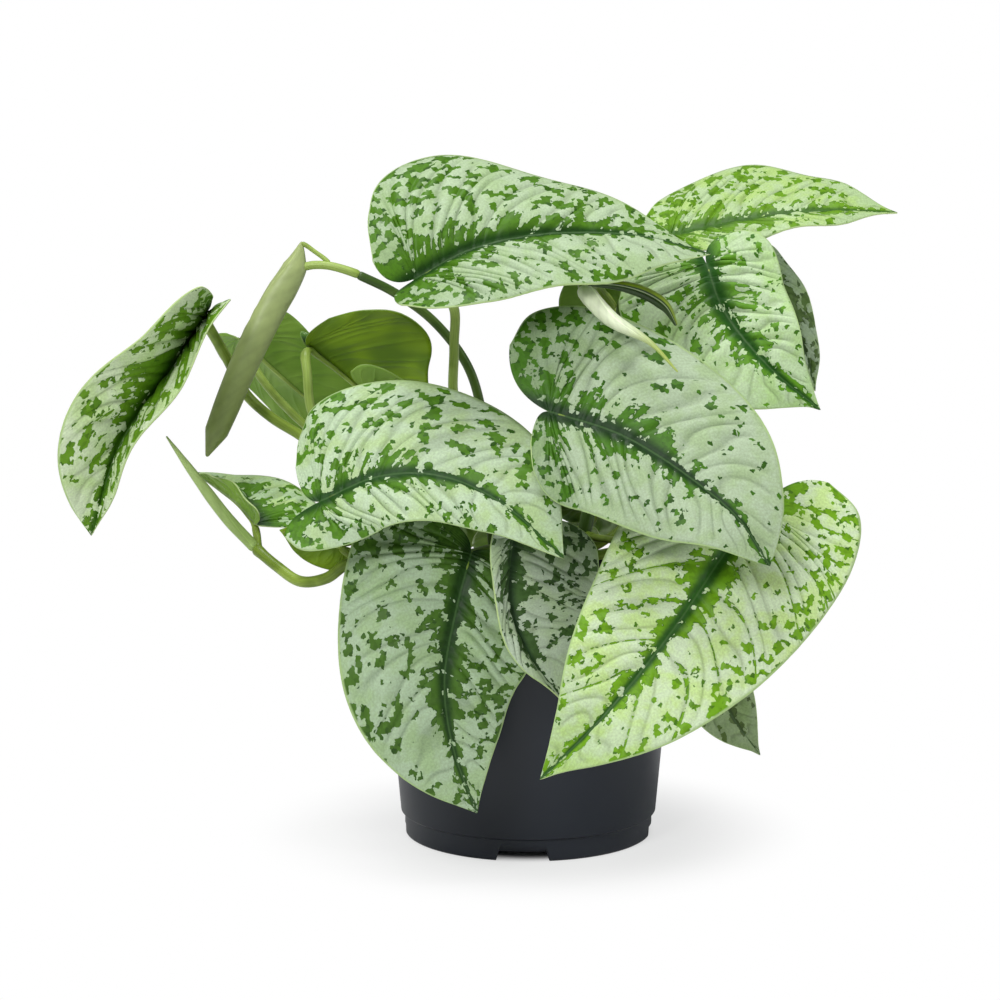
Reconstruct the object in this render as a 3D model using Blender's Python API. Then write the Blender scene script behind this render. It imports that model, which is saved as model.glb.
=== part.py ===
"""A scindapsus in its nursery pot: pot, potting mix, vine stems, leaf stalks and leaves.

The origin is the middle of the pot's underside. Sizes in the tables are millimetres; MM turns
them into Blender's metres where a mesh or a curve is made.
"""
import math
from collections import namedtuple

import bmesh
import bpy
import numpy as np
from mathutils import Matrix

MM = 0.001
GAP = 0.3                    # clearance between pieces that touch

# Pot: a 12 cm nursery pot
POT_HEIGHT = 93.0
RIM_RADIUS = 60.0
COLLAR_HEIGHT = 13.0         # the wider band below the rim
COLLAR_STEP = 5.6            # how far the collar stands out from the wall
BASE_RADIUS = 44.4           # at the foot band
FOOT_BAND_HEIGHT = 7.8
FOOT_STEP = 1.4              # ledge between the foot band and the wall
WALL = 1.2
FLOOR_Z = 4.0                # underside of the floor, above the ground
FOOT_RING_WIDTH = 3.2
CENTRE_FOOT_RADIUS = 12.0
NOTCH_COUNT = 4
NOTCH_WIDTH = 18.0
NOTCH_TURN = math.radians(-93)      # the front notch is a little left of the middle
DRAIN_HOLES = 8
DRAIN_RADIUS = 3.2
DRAIN_CIRCLE = 24.0
TURNED_STEPS = 40

# Potting mix
MIX_EDGE_Z = 79.0            # where it meets the wall
MIX_MOUND = 9.0              # rise in the middle
MIX_CLUMP = (-42.0, 2.0)     # where the clump at the left rises above the rim
MIX_CLUMP_HEIGHT = 22.0
MIX_CLUMP_SPREAD = 9.0
SOCKET_DEPTH = 12.0          # how deep a stem stands in the mix
SOCKET_SLACK = 1.0

# Leaves
BLADE = 0.8                  # thickness
LEAF_ROWS = 8                # along the leaf
LEAF_COLUMNS = 3             # on each side of the midrib
LEAF_WELD = 0.4              # grid points closer than this become one
FAN = 0.28                   # share of the margin whose veins start at the leaf stalk
MARGIN_STEPS = 97            # points read along a margin
RIB_STEPS = 61               # points read along a midrib

# Stems and stalks
STEM_BEVEL = 2               # bevel resolution: 8 sides
STALK_BEVEL = 1              # 6 sides
TUBE_SPACING = 8.0           # longest step along a stem or a stalk
STEM_STEPS = 120             # steps read along a stem to find where a stalk leaves it
STALK_LEAD = 2.0             # straight run where a stalk leaves its stem
STALK_END = 3.0              # straight run under its leaf, in stalk radii

Leaf = namedtuple("Leaf", "midrib facing half lobe fold curl fold_tip sweep full peak",
                  defaults=(None, (0, 0), (1, 1), (0, 0)))
Stem = namedtuple("Stem", "route radius")
Stalk = namedtuple("Stalk", "stem share via radius leaf arrive", defaults=(None,))
Roll = namedtuple("Roll", "route radii")

# midrib: from the stalk to the tip. facing: the way the upper side looks. half, lobe: widest
# half width and length behind the stalk, left and right as seen from above with the tip
# ahead. fold: degrees each half is raised at the stalk, and fold_tip at the tip where that
# differs. curl: degrees it turns further on its way to the margin (below 0 is down).
# sweep: how far the margin leans towards the tip, as a share of its distance from the midrib.
# full: above 1 the half stays broad for longer before its tip.
# peak: how far its widest place is moved towards the tip, as a share of the length.
LEAVES = {
    "leaf_top": Leaf(
        [(-39, -52, 205.5), (-20.5, -48, 215), (5, -44, 220), (38, -41, 219), (61.5, -39, 212.5)],
        facing=(0, -0.5, 0.87), half=(43, 30), lobe=(13, 16), fold=(54, 14), fold_tip=(0, -10),
        curl=(-55, -16), sweep=(0.28, 0.5), full=(0.8, 1.2), peak=(-0.16, 0.03)),
    "leaf_top_right": Leaf(
        [(50, 13, 213.5), (76, 14, 219), (103, 14, 222.5), (131, 16, 221.5)],
        facing=(-0.1, -0.4, 0.9), half=(37, 16), lobe=(12, 4), fold=(5, 5), curl=(-10, -10),
        sweep=(0.4, 0.3)),
    "leaf_right": Leaf(
        [(62, -6, 206), (68, -15, 190), (83, -25, 172), (101, -27, 157)],
        facing=(-0.15, -0.88, 0.45), half=(24, 34), lobe=(8, 12), fold=(5, 5), curl=(-20, -20),
        full=(1.0, 0.8)),
    "leaf_right_behind": Leaf(
        [(81, 22, 203), (91, 21, 189), (99, 20, 172), (103, 20, 157)],
        facing=(0.5, -0.8, 0.3), half=(11, 14), lobe=(4, 4), fold=(10, 10), curl=(-10, -10)),
    "leaf_centre_right": Leaf(
        [(6, -70, 163), (30, -76, 156), (53, -86, 143), (69, -94, 130), (79, -96, 115)],
        facing=(0.1, -0.87, 0.48), half=(42, 30), lobe=(19, 6), fold=(5, 5), curl=(-20, -20),
        sweep=(-0.1, 0.35), full=(1.3, 1.3)),
    "leaf_centre_left": Leaf(
        [(-71, -68, 132), (-51, -71, 141), (-30, -76, 142), (-10, -82, 134), (11, -88, 116)],
        facing=(-0.05, -0.8, 0.6), half=(37, 19), lobe=(8, 16), fold=(5, 5), curl=(-20, -20),
        sweep=(0.2, 0.15), full=(1.2, 1.2)),
    "leaf_left_small": Leaf(
        [(-96, -20, 116), (-102.5, -11, 121.5), (-110.5, 1, 125), (-119.6, 13, 128.5)],
        facing=(0, -0.6, 0.8), half=(7, 27), lobe=(2, 4), fold=(95, -10), curl=(0, -8),
        sweep=(0, -0.2)),
    "leaf_left_drooping": Leaf(
        [(-113, -5, 188), (-127, -19, 167), (-142, -30, 145), (-152, -34, 114)],
        facing=(0.3, -0.9, 0.3), half=(22, 31), lobe=(4, 4), fold=(85, 72), curl=(0, 10),
        fold_tip=(70, 5), sweep=(0, 0.2), full=(1, 1.3), peak=(0, 0.08)),
    "leaf_back_left": Leaf(
        [(-105, 45, 173), (-90, 60, 156), (-74, 73, 140), (-56, 81, 125)],
        facing=(-0.3, 0.85, 0.4), half=(16, 18.5), lobe=(1, 0.5), fold=(55, 15), fold_tip=(-5, 5),
        curl=(-10, -10), sweep=(0, 0.3), full=(1.2, 1), peak=(0.1, 0.22)),
    "leaf_back_middle": Leaf(
        [(-80, 28, 173), (-68, 37, 162), (-56, 44, 150), (-36, 48, 133)],
        facing=(0.1, 0.8, 0.6), half=(8, 37), lobe=(2, 6), fold=(80, 12), fold_tip=(80, 0),
        curl=(0, -10), sweep=(0, 0.25)),
    "leaf_back_centre": Leaf(
        [(-55.5, -34, 165), (-44, -32, 159), (-30, -31, 151.5), (-14, -32, 142)],
        facing=(0.1, 0.8, 0.6), half=(7, 12), lobe=(2, 9), fold=(5, 5), curl=(-10, -10)),
    "leaf_front_left": Leaf(
        [(-20, -62, 113), (-25, -69, 95), (-29, -74, 71), (-26, -75, 48), (-18, -73, 25)],
        facing=(0.12, -0.95, 0.25), half=(30, 40), lobe=(4, 10), fold=(4, 4), curl=(-20, -20),
        sweep=(0.1, 0), full=(1.05, 1.15)),
    "leaf_front_middle": Leaf(
        [(-6, -69, 120), (-7, -76, 98), (0, -81, 81), (14, -80, 63)],
        facing=(0.35, -0.9, 0.3), half=(34, 12), lobe=(8, 8), fold=(0, 40), curl=(-20, 0)),
    "leaf_front_right": Leaf(
        [(77, -62, 128), (65, -75, 115), (47, -91, 92), (23, -104, 65), (3, -106, 45)],
        facing=(0.08, -0.9, 0.42), half=(39.5, 35), lobe=(24, 14), fold=(5, 5), fold_tip=(22, 5),
        curl=(-15, -15), sweep=(-0.08, 0.1), full=(1, 1.1)),
    "leaf_right_low": Leaf(
        [(53, -44, 88), (62, -49, 68), (71, -50, 52), (80, -47, 39)],
        facing=(0.3, -0.9, 0.3), half=(17, 17), lobe=(5, 5), fold=(5, 5), curl=(-10, -10)),
    "leaf_left_low": Leaf(
        [(-64, -42, 112), (-71, -42, 113), (-77, -43, 115), (-86, -45, 118)],
        facing=(0, 0.95, 0.3), half=(12, 10), lobe=(5, 5), fold=(5, 5), curl=(-10, -10)),
    "leaf_inner": Leaf(
        [(26, 22, 193), (22, 25, 187), (19, 28, 180), (15, 32, 172)],
        facing=(0.2, 0.9, 0.3), half=(12, 12), lobe=(5, 5), fold=(5, 5), curl=(-10, -10)),
    "leaf_side_right": Leaf(
        [(60, 10, 124), (76, 22, 116), (90, 32, 98), (96, 36, 80)],
        facing=(0.6, 0.3, 0.75), half=(24, 24), lobe=(9, 9), fold=(6, 6), curl=(-20, -20)),
    "leaf_rear_right": Leaf(
        [(24, 34, 112), (38, 51, 104), (50, 65, 88), (56, 72, 70)],
        facing=(0.4, 0.6, 0.75), half=(25, 27), lobe=(10, 10), fold=(6, 6), curl=(-20, -20)),
    "leaf_rear_left": Leaf(
        [(-20, 38, 111), (-30, 56, 103), (-39, 70, 87), (-42, 76, 69)],
        facing=(-0.3, 0.6, 0.75), half=(25, 25), lobe=(9, 9), fold=(6, 6), curl=(-20, -20)),
    "leaf_rear_low": Leaf(
        [(4, 62, 99), (4, 78, 89.5), (3, 85, 69), (1, 85, 48)],
        facing=(0, 0.8, 0.5), half=(25, 23), lobe=(9, 9), fold=(6, 6), curl=(-20, -20)),
}

# Each stem starts in the mix: the first point gives only x and y.
STEMS = {
    "stem_back": Stem(
        [(-10, 14), (-13, 13, 104), (-15, 12, 130), (-17, 11, 152), (-22, 10, 168), (-34, 8, 184),
         (-48, 6, 194.5), (-60.8, 6, 200.8)], radius=1.7),
    "stem_left": Stem(
        [(-22, 14), (-32, 16, 104), (-48, 18, 117), (-62, 19, 129), (-76, 20, 138)], radius=2.3),
    "stem_low_left": Stem(
        [(-26, -22), (-34, -31, 96), (-45, -42, 103), (-55, -46, 106), (-63, -46, 106),
         (-70, -44, 101), (-79, -40, 99), (-88, -32, 103), (-96, -24, 108)], radius=2.0),
    "stem_centre": Stem(
        [(-6, -8), (-10, -10, 112), (-15, -13, 135), (-20, -16, 152)], radius=2.0),
    "stem_right": Stem(
        [(16, 6), (20, 6, 108), (26, 8, 138), (31, 10, 168), (34, 11, 192)], radius=2.2),
    "stem_front": Stem(
        [(6, -24), (5, -30, 100), (4, -36, 112)], radius=2.0),
    "stem_rear": Stem(
        [(8, 26), (7, 30, 96), (6, 33, 104)], radius=2.0),
}

# stem, share: where the stalk leaves its stem. via: its way up. leaf: what it carries.
# arrive: the side it comes from at the leaf, where that isn't straight from below.
STALKS = {
    "stalk_top": Stalk(
        "stem_centre", share=0.97, via=[(-26, -24, 160), (-26, -33, 180), (-26.6, -39.5, 195.5)], radius=1.7,
        leaf="leaf_top"),
    "stalk_centre_left": Stalk(
        "stem_low_left", share=0.28, via=[(-50, -46, 112), (-60, -50, 118)], radius=1.6,
        leaf="leaf_centre_left"),
    "stalk_left_small": Stalk(
        "stem_low_left", share=0.985, via=[], radius=1.2, leaf="leaf_left_small"),
    "stalk_left_low": Stalk(
        "stem_low_left", share=0.5, via=[], radius=1.1, leaf="leaf_left_low"),
    "stalk_left_drooping": Stalk(
        "stem_left", share=0.95, via=[(-83, 18, 142), (-92, 16, 148), (-101, 13, 157), (-107, 8, 170)],
        radius=1.9, leaf="leaf_left_drooping"),
    "stalk_back_left": Stalk(
        "stem_left", share=0.8, via=[(-84, 30, 146), (-97, 34, 160)], radius=1.5,
        leaf="leaf_back_left"),
    "stalk_back_middle": Stalk(
        "stem_left", share=0.98, via=[(-78, 20, 150), (-79.5, 21, 164)], radius=1.7,
        leaf="leaf_back_middle"),
    "stalk_back_centre": Stalk(
        "stem_centre", share=0.75, via=[(-28, -28, 140), (-46, -42, 150)], radius=1.3,
        leaf="leaf_back_centre"),
    "stalk_centre_right": Stalk(
        "stem_right", share=0.45, via=[(22, -20, 146), (12, -46, 155)], radius=1.8,
        leaf="leaf_centre_right"),
    "stalk_top_right": Stalk(
        "stem_right", share=0.97, via=[(43, 18, 202)], radius=1.6, leaf="leaf_top_right"),
    "stalk_right": Stalk(
        "stem_right", share=0.9, via=[(44, 14, 190), (58, 16, 198)], radius=1.6, leaf="leaf_right"),
    "stalk_right_behind": Stalk(
        "stem_right", share=0.8, via=[(50, 24, 184), (70, 32, 198)], radius=1.3,
        leaf="leaf_right_behind"),
    "stalk_inner": Stalk(
        "stem_right", share=0.93, via=[], radius=1.2, leaf="leaf_inner", arrive=(0.4, -0.9, -0.3)),
    "stalk_front_left": Stalk(
        "stem_front", share=0.9, via=[(-8, -46, 112)], radius=1.7, leaf="leaf_front_left"),
    "stalk_front_middle": Stalk(
        "stem_front", share=0.97, via=[(1, -46, 120)], radius=1.5, leaf="leaf_front_middle",
        arrive=(-0.2, 0.85, 0.4)),
    "stalk_front_right": Stalk(
        "stem_front", share=0.8, via=[(22, -40, 108), (46, -42, 114), (66, -50, 122)], radius=1.8,
        leaf="leaf_front_right"),
    "stalk_right_low": Stalk(
        "stem_right", share=0.33, via=[(32, -12, 108), (42, -27, 108), (49, -37, 101)], radius=1.3,
        leaf="leaf_right_low", arrive=(-0.3, 0.8, 0.4)),
    "stalk_side_right": Stalk(
        "stem_right", share=0.3, via=[(38, 8, 112)], radius=1.5, leaf="leaf_side_right"),
    "stalk_rear_right": Stalk(
        "stem_rear", share=0.92, via=[(15, 33, 102)], radius=1.5, leaf="leaf_rear_right"),
    "stalk_rear_left": Stalk(
        "stem_rear", share=0.95, via=[(-7, 38, 102)], radius=1.5, leaf="leaf_rear_left"),
    "stalk_rear_low": Stalk(
        "stem_rear", share=0.8, via=[(7, 48, 99.5)], radius=1.4, leaf="leaf_rear_low"),
}

# Young leaves still rolled up, and bare sheaths: a route, and radii spread along it.
ROLLS = {
    "stalk_left_rolled": Roll(
        [(-61.4, 6, 201.1), (-70.3, 7, 203.6), (-76, 8, 203.8), (-79.3, 8.3, 203.2)],
        radii=(1.6, 1.5, 1.5)),
    "young_leaf_left": Roll(
        [(-80.3, 9.5, 212), (-83, 8.5, 203), (-91, 6, 189), (-101.5, 0, 167), (-109, -3, 149),
         (-114, -4, 137)],
        radii=(0.4, 4.2, 5.0, 5.0, 4.8, 4.4, 1.2)),
    "stalk_young_right": Roll(
        [(30.5, 10, 188), (24, 4, 197), (20, -20, 203), (18, -44, 203.5), (18, -51, 202.3)],
        radii=(1.5, 1.5, 1.8)),
    "young_leaf_right": Roll(
        [(18, -51.7, 202), (18.5, -54, 201.3), (27, -62, 193), (40, -70, 186), (49, -76, 177)],
        radii=(1.6, 3.0, 3.0, 2.0, 0.5)),
    "sheath_right": Roll(
        [(20.4, -44, 203), (31, -42.5, 202), (40, -41, 199), (46.5, -41, 194.5), (50, -43, 188.5)],
        radii=(0.8, 1.6, 2.2, 2.2, 0.6)),
    "sheath_left": Roll(
        [(-72.6, 8, 206.3), (-75.5, 8.6, 208.3), (-79.1, 9.3, 210.8)],
        radii=(0.8, 0.7, 0.4)),
    "young_leaf_low": Roll(
        [(-97, -23, 109), (-105, -24, 118), (-115, -26, 132), (-126, -28, 148)],
        radii=(1.9, 2.3, 2.0, 0.4)),
}


def remove_old_objects():
    for old in list(bpy.data.objects):
        bpy.data.objects.remove(old, do_unlink=True)


def material(name, colour, roughness):
    made = bpy.data.materials.new(name)
    made.use_nodes = True
    shader = made.node_tree.nodes["Principled BSDF"]
    shader.inputs["Base Color"].default_value = (*colour, 1)
    shader.inputs["Roughness"].default_value = roughness
    shader.inputs["Metallic"].default_value = 0
    return made


def add_object(name, data, surface):
    made = bpy.data.objects.new(name, data)
    bpy.context.collection.objects.link(made)
    data.materials.append(surface)
    return made


def finish_mesh(name, bm, surface, sharp_angle=30):
    bmesh.ops.recalc_face_normals(bm, faces=bm.faces)
    mesh = bpy.data.meshes.new(name)
    bm.to_mesh(mesh)
    bm.free()
    mesh.shade_smooth()
    mesh.set_sharp_from_angle(angle=math.radians(sharp_angle))
    return add_object(name, mesh, surface)


def curve_knots(given):
    """Where the given points lie along their curve: even steps in the root of the distance."""
    return np.concatenate([[0], np.cumsum(np.linalg.norm(np.diff(given, axis=0), axis=1) ** 0.5)])


def smooth_at(given, place):
    """Points of the smooth curve through the given ones, read at places along it."""
    knots = curve_knots(given)
    slopes = np.gradient(given, knots, axis=0)
    k = np.clip(np.searchsorted(knots, place, side="right") - 1, 0, len(given) - 2)
    span = (knots[k + 1] - knots[k])[:, None]
    f = (place - knots[k])[:, None] / span
    return ((1 + 2 * f) * (1 - f) ** 2 * given[k] + f * (1 - f) ** 2 * span * slopes[k]
            + f ** 2 * (3 - 2 * f) * given[k + 1] - f ** 2 * (1 - f) * span * slopes[k + 1])


def smooth_curve(points, count):
    given = np.array(points, float)
    return smooth_at(given, np.linspace(0, curve_knots(given)[-1], count))


def spaced_curve(points, spacing):
    """The same curve with the given points kept, and more of them where they lie far apart."""
    given = np.array(points, float)
    knots = curve_knots(given)
    places = [knots[:1]]
    for start, end, gap in zip(knots, knots[1:], np.diff(knots) ** 2):
        places.append(np.linspace(start, end, max(1, round(gap / spacing)) + 1)[1:])
    return smooth_at(given, np.concatenate(places))


def unit(vectors):
    return vectors / np.linalg.norm(vectors, axis=-1, keepdims=True)


def path_lengths(points):
    steps = np.linalg.norm(np.diff(points, axis=0), axis=1)
    return np.concatenate([[0], np.cumsum(steps)])


def at(positions, lengths, table):
    """Rows of table, read at the given positions along the path."""
    return np.stack([np.interp(positions, lengths, table[:, k]) for k in range(3)], axis=-1)


# ------------------------------------------------------------------ leaves

# The margin of one half: share of the length (or of the lobe, where below 0) and share of
# the half width.
MARGIN = [(-1.0, 0.36), (-0.80, 0.72), (-0.05, 0.95), (0.20, 1.0), (0.45, 0.88), (0.68, 0.62),
          (0.85, 0.29), (0.94, 0.10), (1.0, 0.0)]


def margin_at(share, length, half, lobe, full, peak):
    """Where the margin of one half lies, flat on the table: along and across the midrib."""
    points = []
    for along, across in MARGIN:
        if along > 0:
            along = along + peak * math.sin(math.pi * along)
        points.append((along * (lobe if along < 0 else length), across ** (1 / full) * half, 0))
    curve = smooth_curve(points, MARGIN_STEPS)
    lengths = path_lengths(curve)
    place = at(share * lengths[-1], lengths, curve)
    return place[:, 0], place[:, 1]


def flat_leaf(across, share, length, half, lobe, full, peak):
    """One half of a flat leaf. share runs along the margin from lobe to tip; across runs
    along a vein from the midrib to the margin."""
    margin_s, margin_w = margin_at(share, length, half, lobe, full, peak)
    vein_start = length * np.clip((share - FAN) / (1 - FAN), 0, 1) ** 1.05
    hook = np.clip(1 - share / 0.15, 0, 1)             # the first vein is the edge of the notch
    bend_s = vein_start + (margin_s - vein_start) * (0.2 + 0.65 * hook)
    bend_w = margin_w * (0.55 - 0.45 * hook)
    stay, pull, go = (1 - across) ** 2, 2 * across * (1 - across), across ** 2
    return stay * vein_start + pull * bend_s + go * margin_s, pull * bend_w + go * margin_w


def midrib_frame(leaf):
    """The midrib curve with, along it, the directions ahead, up and left."""
    curve = smooth_curve(leaf.midrib, RIB_STEPS)
    lengths = path_lengths(curve)
    ahead = unit(np.gradient(curve, axis=0))
    facing = np.array(leaf.facing, float)
    up = unit(facing - ahead * (ahead @ facing)[:, None])
    left = np.cross(up, ahead)
    return curve, lengths, ahead, up, left


def leaf_points(leaf, across, share):
    """Places in space for grid points: across from -1 (right margin) to 1 (left margin)."""
    curve, lengths, ahead, up, left = midrib_frame(leaf)
    length = lengths[-1]
    fold_tip = leaf.fold_tip or leaf.fold
    on_left = across >= 0
    along, away, rise = (np.zeros_like(share) for _ in range(3))
    for side, k in ((on_left, 0), (~on_left, 1)):
        s, w = flat_leaf(np.abs(across[side]), share[side], length, leaf.half[k], leaf.lobe[k],
                         leaf.full[k], leaf.peak[k])
        s = s + leaf.sweep[k] * w * np.clip((length - s) / length, 0, 1)
        mix = np.clip(s / length, 0, 1)
        first = np.radians(leaf.fold[k] * (1 - mix) + fold_tip[k] * mix)
        bend = math.radians(leaf.curl[k] or 0.1) / leaf.half[k]
        along[side] = s
        away[side] = (np.sin(first + bend * w) - np.sin(first)) / bend
        rise[side] = (np.cos(first) - np.cos(first + bend * w)) / bend
    away = np.where(on_left, away, -away)
    on_rib = np.clip(along, 0, length)
    base = at(on_rib, lengths, curve) + ahead[0] * np.minimum(along, 0)[:, None]
    return (base + unit(at(on_rib, lengths, left)) * away[:, None]
            + unit(at(on_rib, lengths, up)) * rise[:, None])


def make_leaf(name, leaf, surface):
    bm = bmesh.new()
    bmesh.ops.create_grid(bm, x_segments=2 * LEAF_COLUMNS, y_segments=LEAF_ROWS, size=1)
    verts = list(bm.verts)
    flat = np.array([v.co for v in verts])
    places = leaf_points(leaf, flat[:, 0].copy(), (flat[:, 1] + 1) / 2)
    for vert, place in zip(verts, places):
        vert.co = place * MM
    bmesh.ops.remove_doubles(bm, verts=bm.verts, dist=LEAF_WELD * MM)
    made = finish_mesh(name, bm, surface, 60)
    thicken = made.modifiers.new("thickness", "SOLIDIFY")
    thicken.thickness = BLADE * MM
    thicken.offset = 0
    return made


# ------------------------------------------------------------------ stems and stalks

def make_tube(name, route, radii, surface, bevel):
    """A round stem along a smooth curve through the route, its radii spread along it."""
    points = spaced_curve(route, TUBE_SPACING)
    lengths = path_lengths(points)
    curve = bpy.data.curves.new(name, "CURVE")
    curve.dimensions = "3D"
    curve.bevel_depth = MM
    curve.bevel_resolution = bevel
    curve.use_fill_caps = True
    curve.render_resolution_u = 0
    spline = curve.splines.new("POLY")
    spline.points.add(len(points) - 1)
    for point, place, share in zip(spline.points, points, lengths / lengths[-1]):
        point.co = (*(place * MM), 1)
        point.radius = np.interp(share, np.linspace(0, 1, len(radii)), radii)
    return add_object(name, curve, surface)


def stem_route(stem):
    """The stem's points, with its foot standing upright in the mix."""
    x, y = stem.route[0]
    ground = mix_height(x, y)
    return [(x, y, ground - SOCKET_DEPTH), (x, y, ground)] + stem.route[1:]


def stalk_route(stalk):
    """From the skin of the stem to just under the leaf, a small gap clear of both."""
    stem = STEMS[stalk.stem]
    curve = smooth_curve(stem_route(stem), STEM_STEPS + 1)
    k = round(stalk.share * STEM_STEPS)
    along = unit(curve[min(k + 1, STEM_STEPS)] - curve[k - 1])
    rib, _, _, up, _ = midrib_frame(LEAVES[stalk.leaf])
    arrive = unit(np.array(stalk.arrive, float)) if stalk.arrive else -up[0]
    lean = math.sqrt(max(0, 1 - float(arrive @ up[0]) ** 2))
    droop = math.tan(math.radians(max(0, *(-f for f in LEAVES[stalk.leaf].fold))))
    end = rib[0] + arrive * (BLADE / 2 + GAP + stalk.radius * (lean + droop))
    before_end = end + arrive * STALK_END * stalk.radius
    away = np.array(stalk.via[0] if stalk.via else before_end, float) - curve[k]
    away = unit(away - along * (away @ along))
    start = curve[k] + away * (stem.radius + GAP)
    return [tuple(start), tuple(start + away * STALK_LEAD), *stalk.via, tuple(before_end), tuple(end)]


# ------------------------------------------------------------------ pot and mix

def turned(profile):
    """A solid turned round the vertical axis from its profile of radius and height."""
    bm = bmesh.new()
    verts = [bm.verts.new((r * MM, 0, z * MM)) for r, z in profile]
    edges = [bm.edges.new(pair) for pair in zip(verts, verts[1:])]
    bmesh.ops.spin(bm, geom=verts + edges, cent=(0, 0, 0), axis=(0, 0, 1), angle=math.tau,
                   steps=TURNED_STEPS, use_merge=True)
    bmesh.ops.remove_doubles(bm, verts=bm.verts, dist=0.01 * MM)
    return bm


def wall_radius(z):
    """Outer radius of the tapered wall."""
    low = BASE_RADIUS + FOOT_STEP
    high = RIM_RADIUS - COLLAR_STEP - 2.2
    return low + (high - low) * (z - FOOT_BAND_HEIGHT) / (POT_HEIGHT - COLLAR_HEIGHT - FOOT_BAND_HEIGHT)


def pot_profile():
    """From the middle of the underside, out and up the outer side, then back down the inner."""
    band, collar = FOOT_BAND_HEIGHT, POT_HEIGHT - COLLAR_HEIGHT
    foot, cup = BASE_RADIUS - FOOT_RING_WIDTH, CENTRE_FOOT_RADIUS
    collar_radius = RIM_RADIUS - 3
    return [(0, 0), (cup, 0), (cup + 0.6, FLOOR_Z), (foot - 0.6, FLOOR_Z), (foot, 0.6), (foot + 0.7, 0),
            (BASE_RADIUS - 1.4, 0), (BASE_RADIUS - 0.4, 0.9), (BASE_RADIUS - 0.05, 2.5),
            (BASE_RADIUS, band), (BASE_RADIUS + FOOT_STEP, band + 0.8), (wall_radius(collar), collar),
            (collar_radius, collar + 1), (collar_radius + 1.2, POT_HEIGHT - 1.8),
            (RIM_RADIUS - 0.6, POT_HEIGHT - 1.5), (RIM_RADIUS, POT_HEIGHT - 1),
            (RIM_RADIUS, POT_HEIGHT - 0.4), (RIM_RADIUS - 0.6, POT_HEIGHT),
            (collar_radius + 0.6, POT_HEIGHT),
            (collar_radius - 0.1, POT_HEIGHT - 1), (collar_radius - WALL, collar + 2.2),
            (wall_radius(collar) - WALL, collar + 1.2), (wall_radius(band + 1) - WALL, band + 1),
            (BASE_RADIUS - WALL, band - 0.2), (BASE_RADIUS - WALL - 0.4, FLOOR_Z + WALL),
            (cup - 0.6, FLOOR_Z + WALL), (cup - WALL, WALL), (0, WALL)]


def add_notch_cutter(bm, turn):
    """A block for one notch in the foot ring, its sides leaning outwards at the bottom."""
    made = bmesh.ops.create_cube(bm, size=1)["verts"]
    for vert in made:
        wide = NOTCH_WIDTH + (1.5 if vert.co.z < 0 else -1.5)
        vert.co.x *= wide * MM
        vert.co.y = (BASE_RADIUS - 4 + vert.co.y * 16) * MM
        vert.co.z = (FLOOR_Z - 0.2 if vert.co.z > 0 else -1) * MM
    bmesh.ops.rotate(bm, verts=made, cent=(0, 0, 0), matrix=Matrix.Rotation(turn, 3, "Z"))


def add_drain_cutter(bm, turn):
    middle = Matrix.Translation((DRAIN_CIRCLE * MM, 0, (FLOOR_Z + WALL / 2) * MM))
    place = Matrix.Rotation(turn, 4, "Z") @ middle
    bmesh.ops.create_cone(bm, cap_ends=True, segments=12, radius1=DRAIN_RADIUS * MM,
                          radius2=DRAIN_RADIUS * MM, depth=3 * WALL * MM, matrix=place)


def hide_cutter(cutter):
    cutter.hide_render = True
    cutter.display_type = "WIRE"


def cut(target, cutter):
    hide_cutter(cutter)
    boolean = target.modifiers.new(cutter.name, "BOOLEAN")
    boolean.operation = "DIFFERENCE"
    boolean.solver = "EXACT"
    boolean.object = cutter


def make_pot(surface):
    pot = finish_mesh("pot", turned(pot_profile()), surface)
    bm = bmesh.new()
    for k in range(NOTCH_COUNT):
        add_notch_cutter(bm, NOTCH_TURN + k * math.tau / NOTCH_COUNT)
    for k in range(DRAIN_HOLES):
        add_drain_cutter(bm, (k + 0.5) * math.tau / DRAIN_HOLES)
    cut(pot, finish_mesh("pot_cutter", bm, surface))
    return pot


def mix_height(x, y):
    """Height of the top of the potting mix: a low mound with a clump at the left."""
    radius = math.hypot(x, y)
    mound = MIX_MOUND * max(0, 1 - (radius / 50) ** 2)
    clump = MIX_CLUMP_HEIGHT * math.exp(-((x - MIX_CLUMP[0]) ** 2 + (y - MIX_CLUMP[1]) ** 2)
                                        / (2 * MIX_CLUMP_SPREAD ** 2))
    crumbs = 0.8 * math.sin(0.31 * x + 1) * math.sin(0.37 * y)
    return MIX_EDGE_Z + mound + clump + crumbs


def make_mix(surface):
    """The root ball: it fills the pot, a small gap clear of the wall and the floor."""
    band, cup, floor = FOOT_BAND_HEIGHT, CENTRE_FOOT_RADIUS - WALL, FLOOR_Z + WALL + GAP
    inner = WALL + GAP
    edge = wall_radius(MIX_EDGE_Z) - inner
    side = [(0, WALL + GAP), (cup - 0.5, WALL + GAP), (cup + 0.1, floor), (BASE_RADIUS - inner - 0.5, floor),
            (BASE_RADIUS - inner, band - 0.2), (wall_radius(band + 1.3) - inner, band + 1.3),
            (wall_radius(MIX_EDGE_Z - 4) - inner, MIX_EDGE_Z - 4)]
    top = [(edge * share, MIX_EDGE_Z) for share in (0.99, 0.86, 0.72, 0.56, 0.38, 0.2, 0)]
    bm = turned(side + top)
    for vert in bm.verts:
        if vert.co.z > (MIX_EDGE_Z - 1) * MM:
            vert.co.z = mix_height(vert.co.x / MM, vert.co.y / MM) * MM
    mix = finish_mesh("potting_mix", bm, surface)
    for name, stem in STEMS.items():
        cut(mix, make_socket(name, stem, surface))
    return mix


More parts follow.
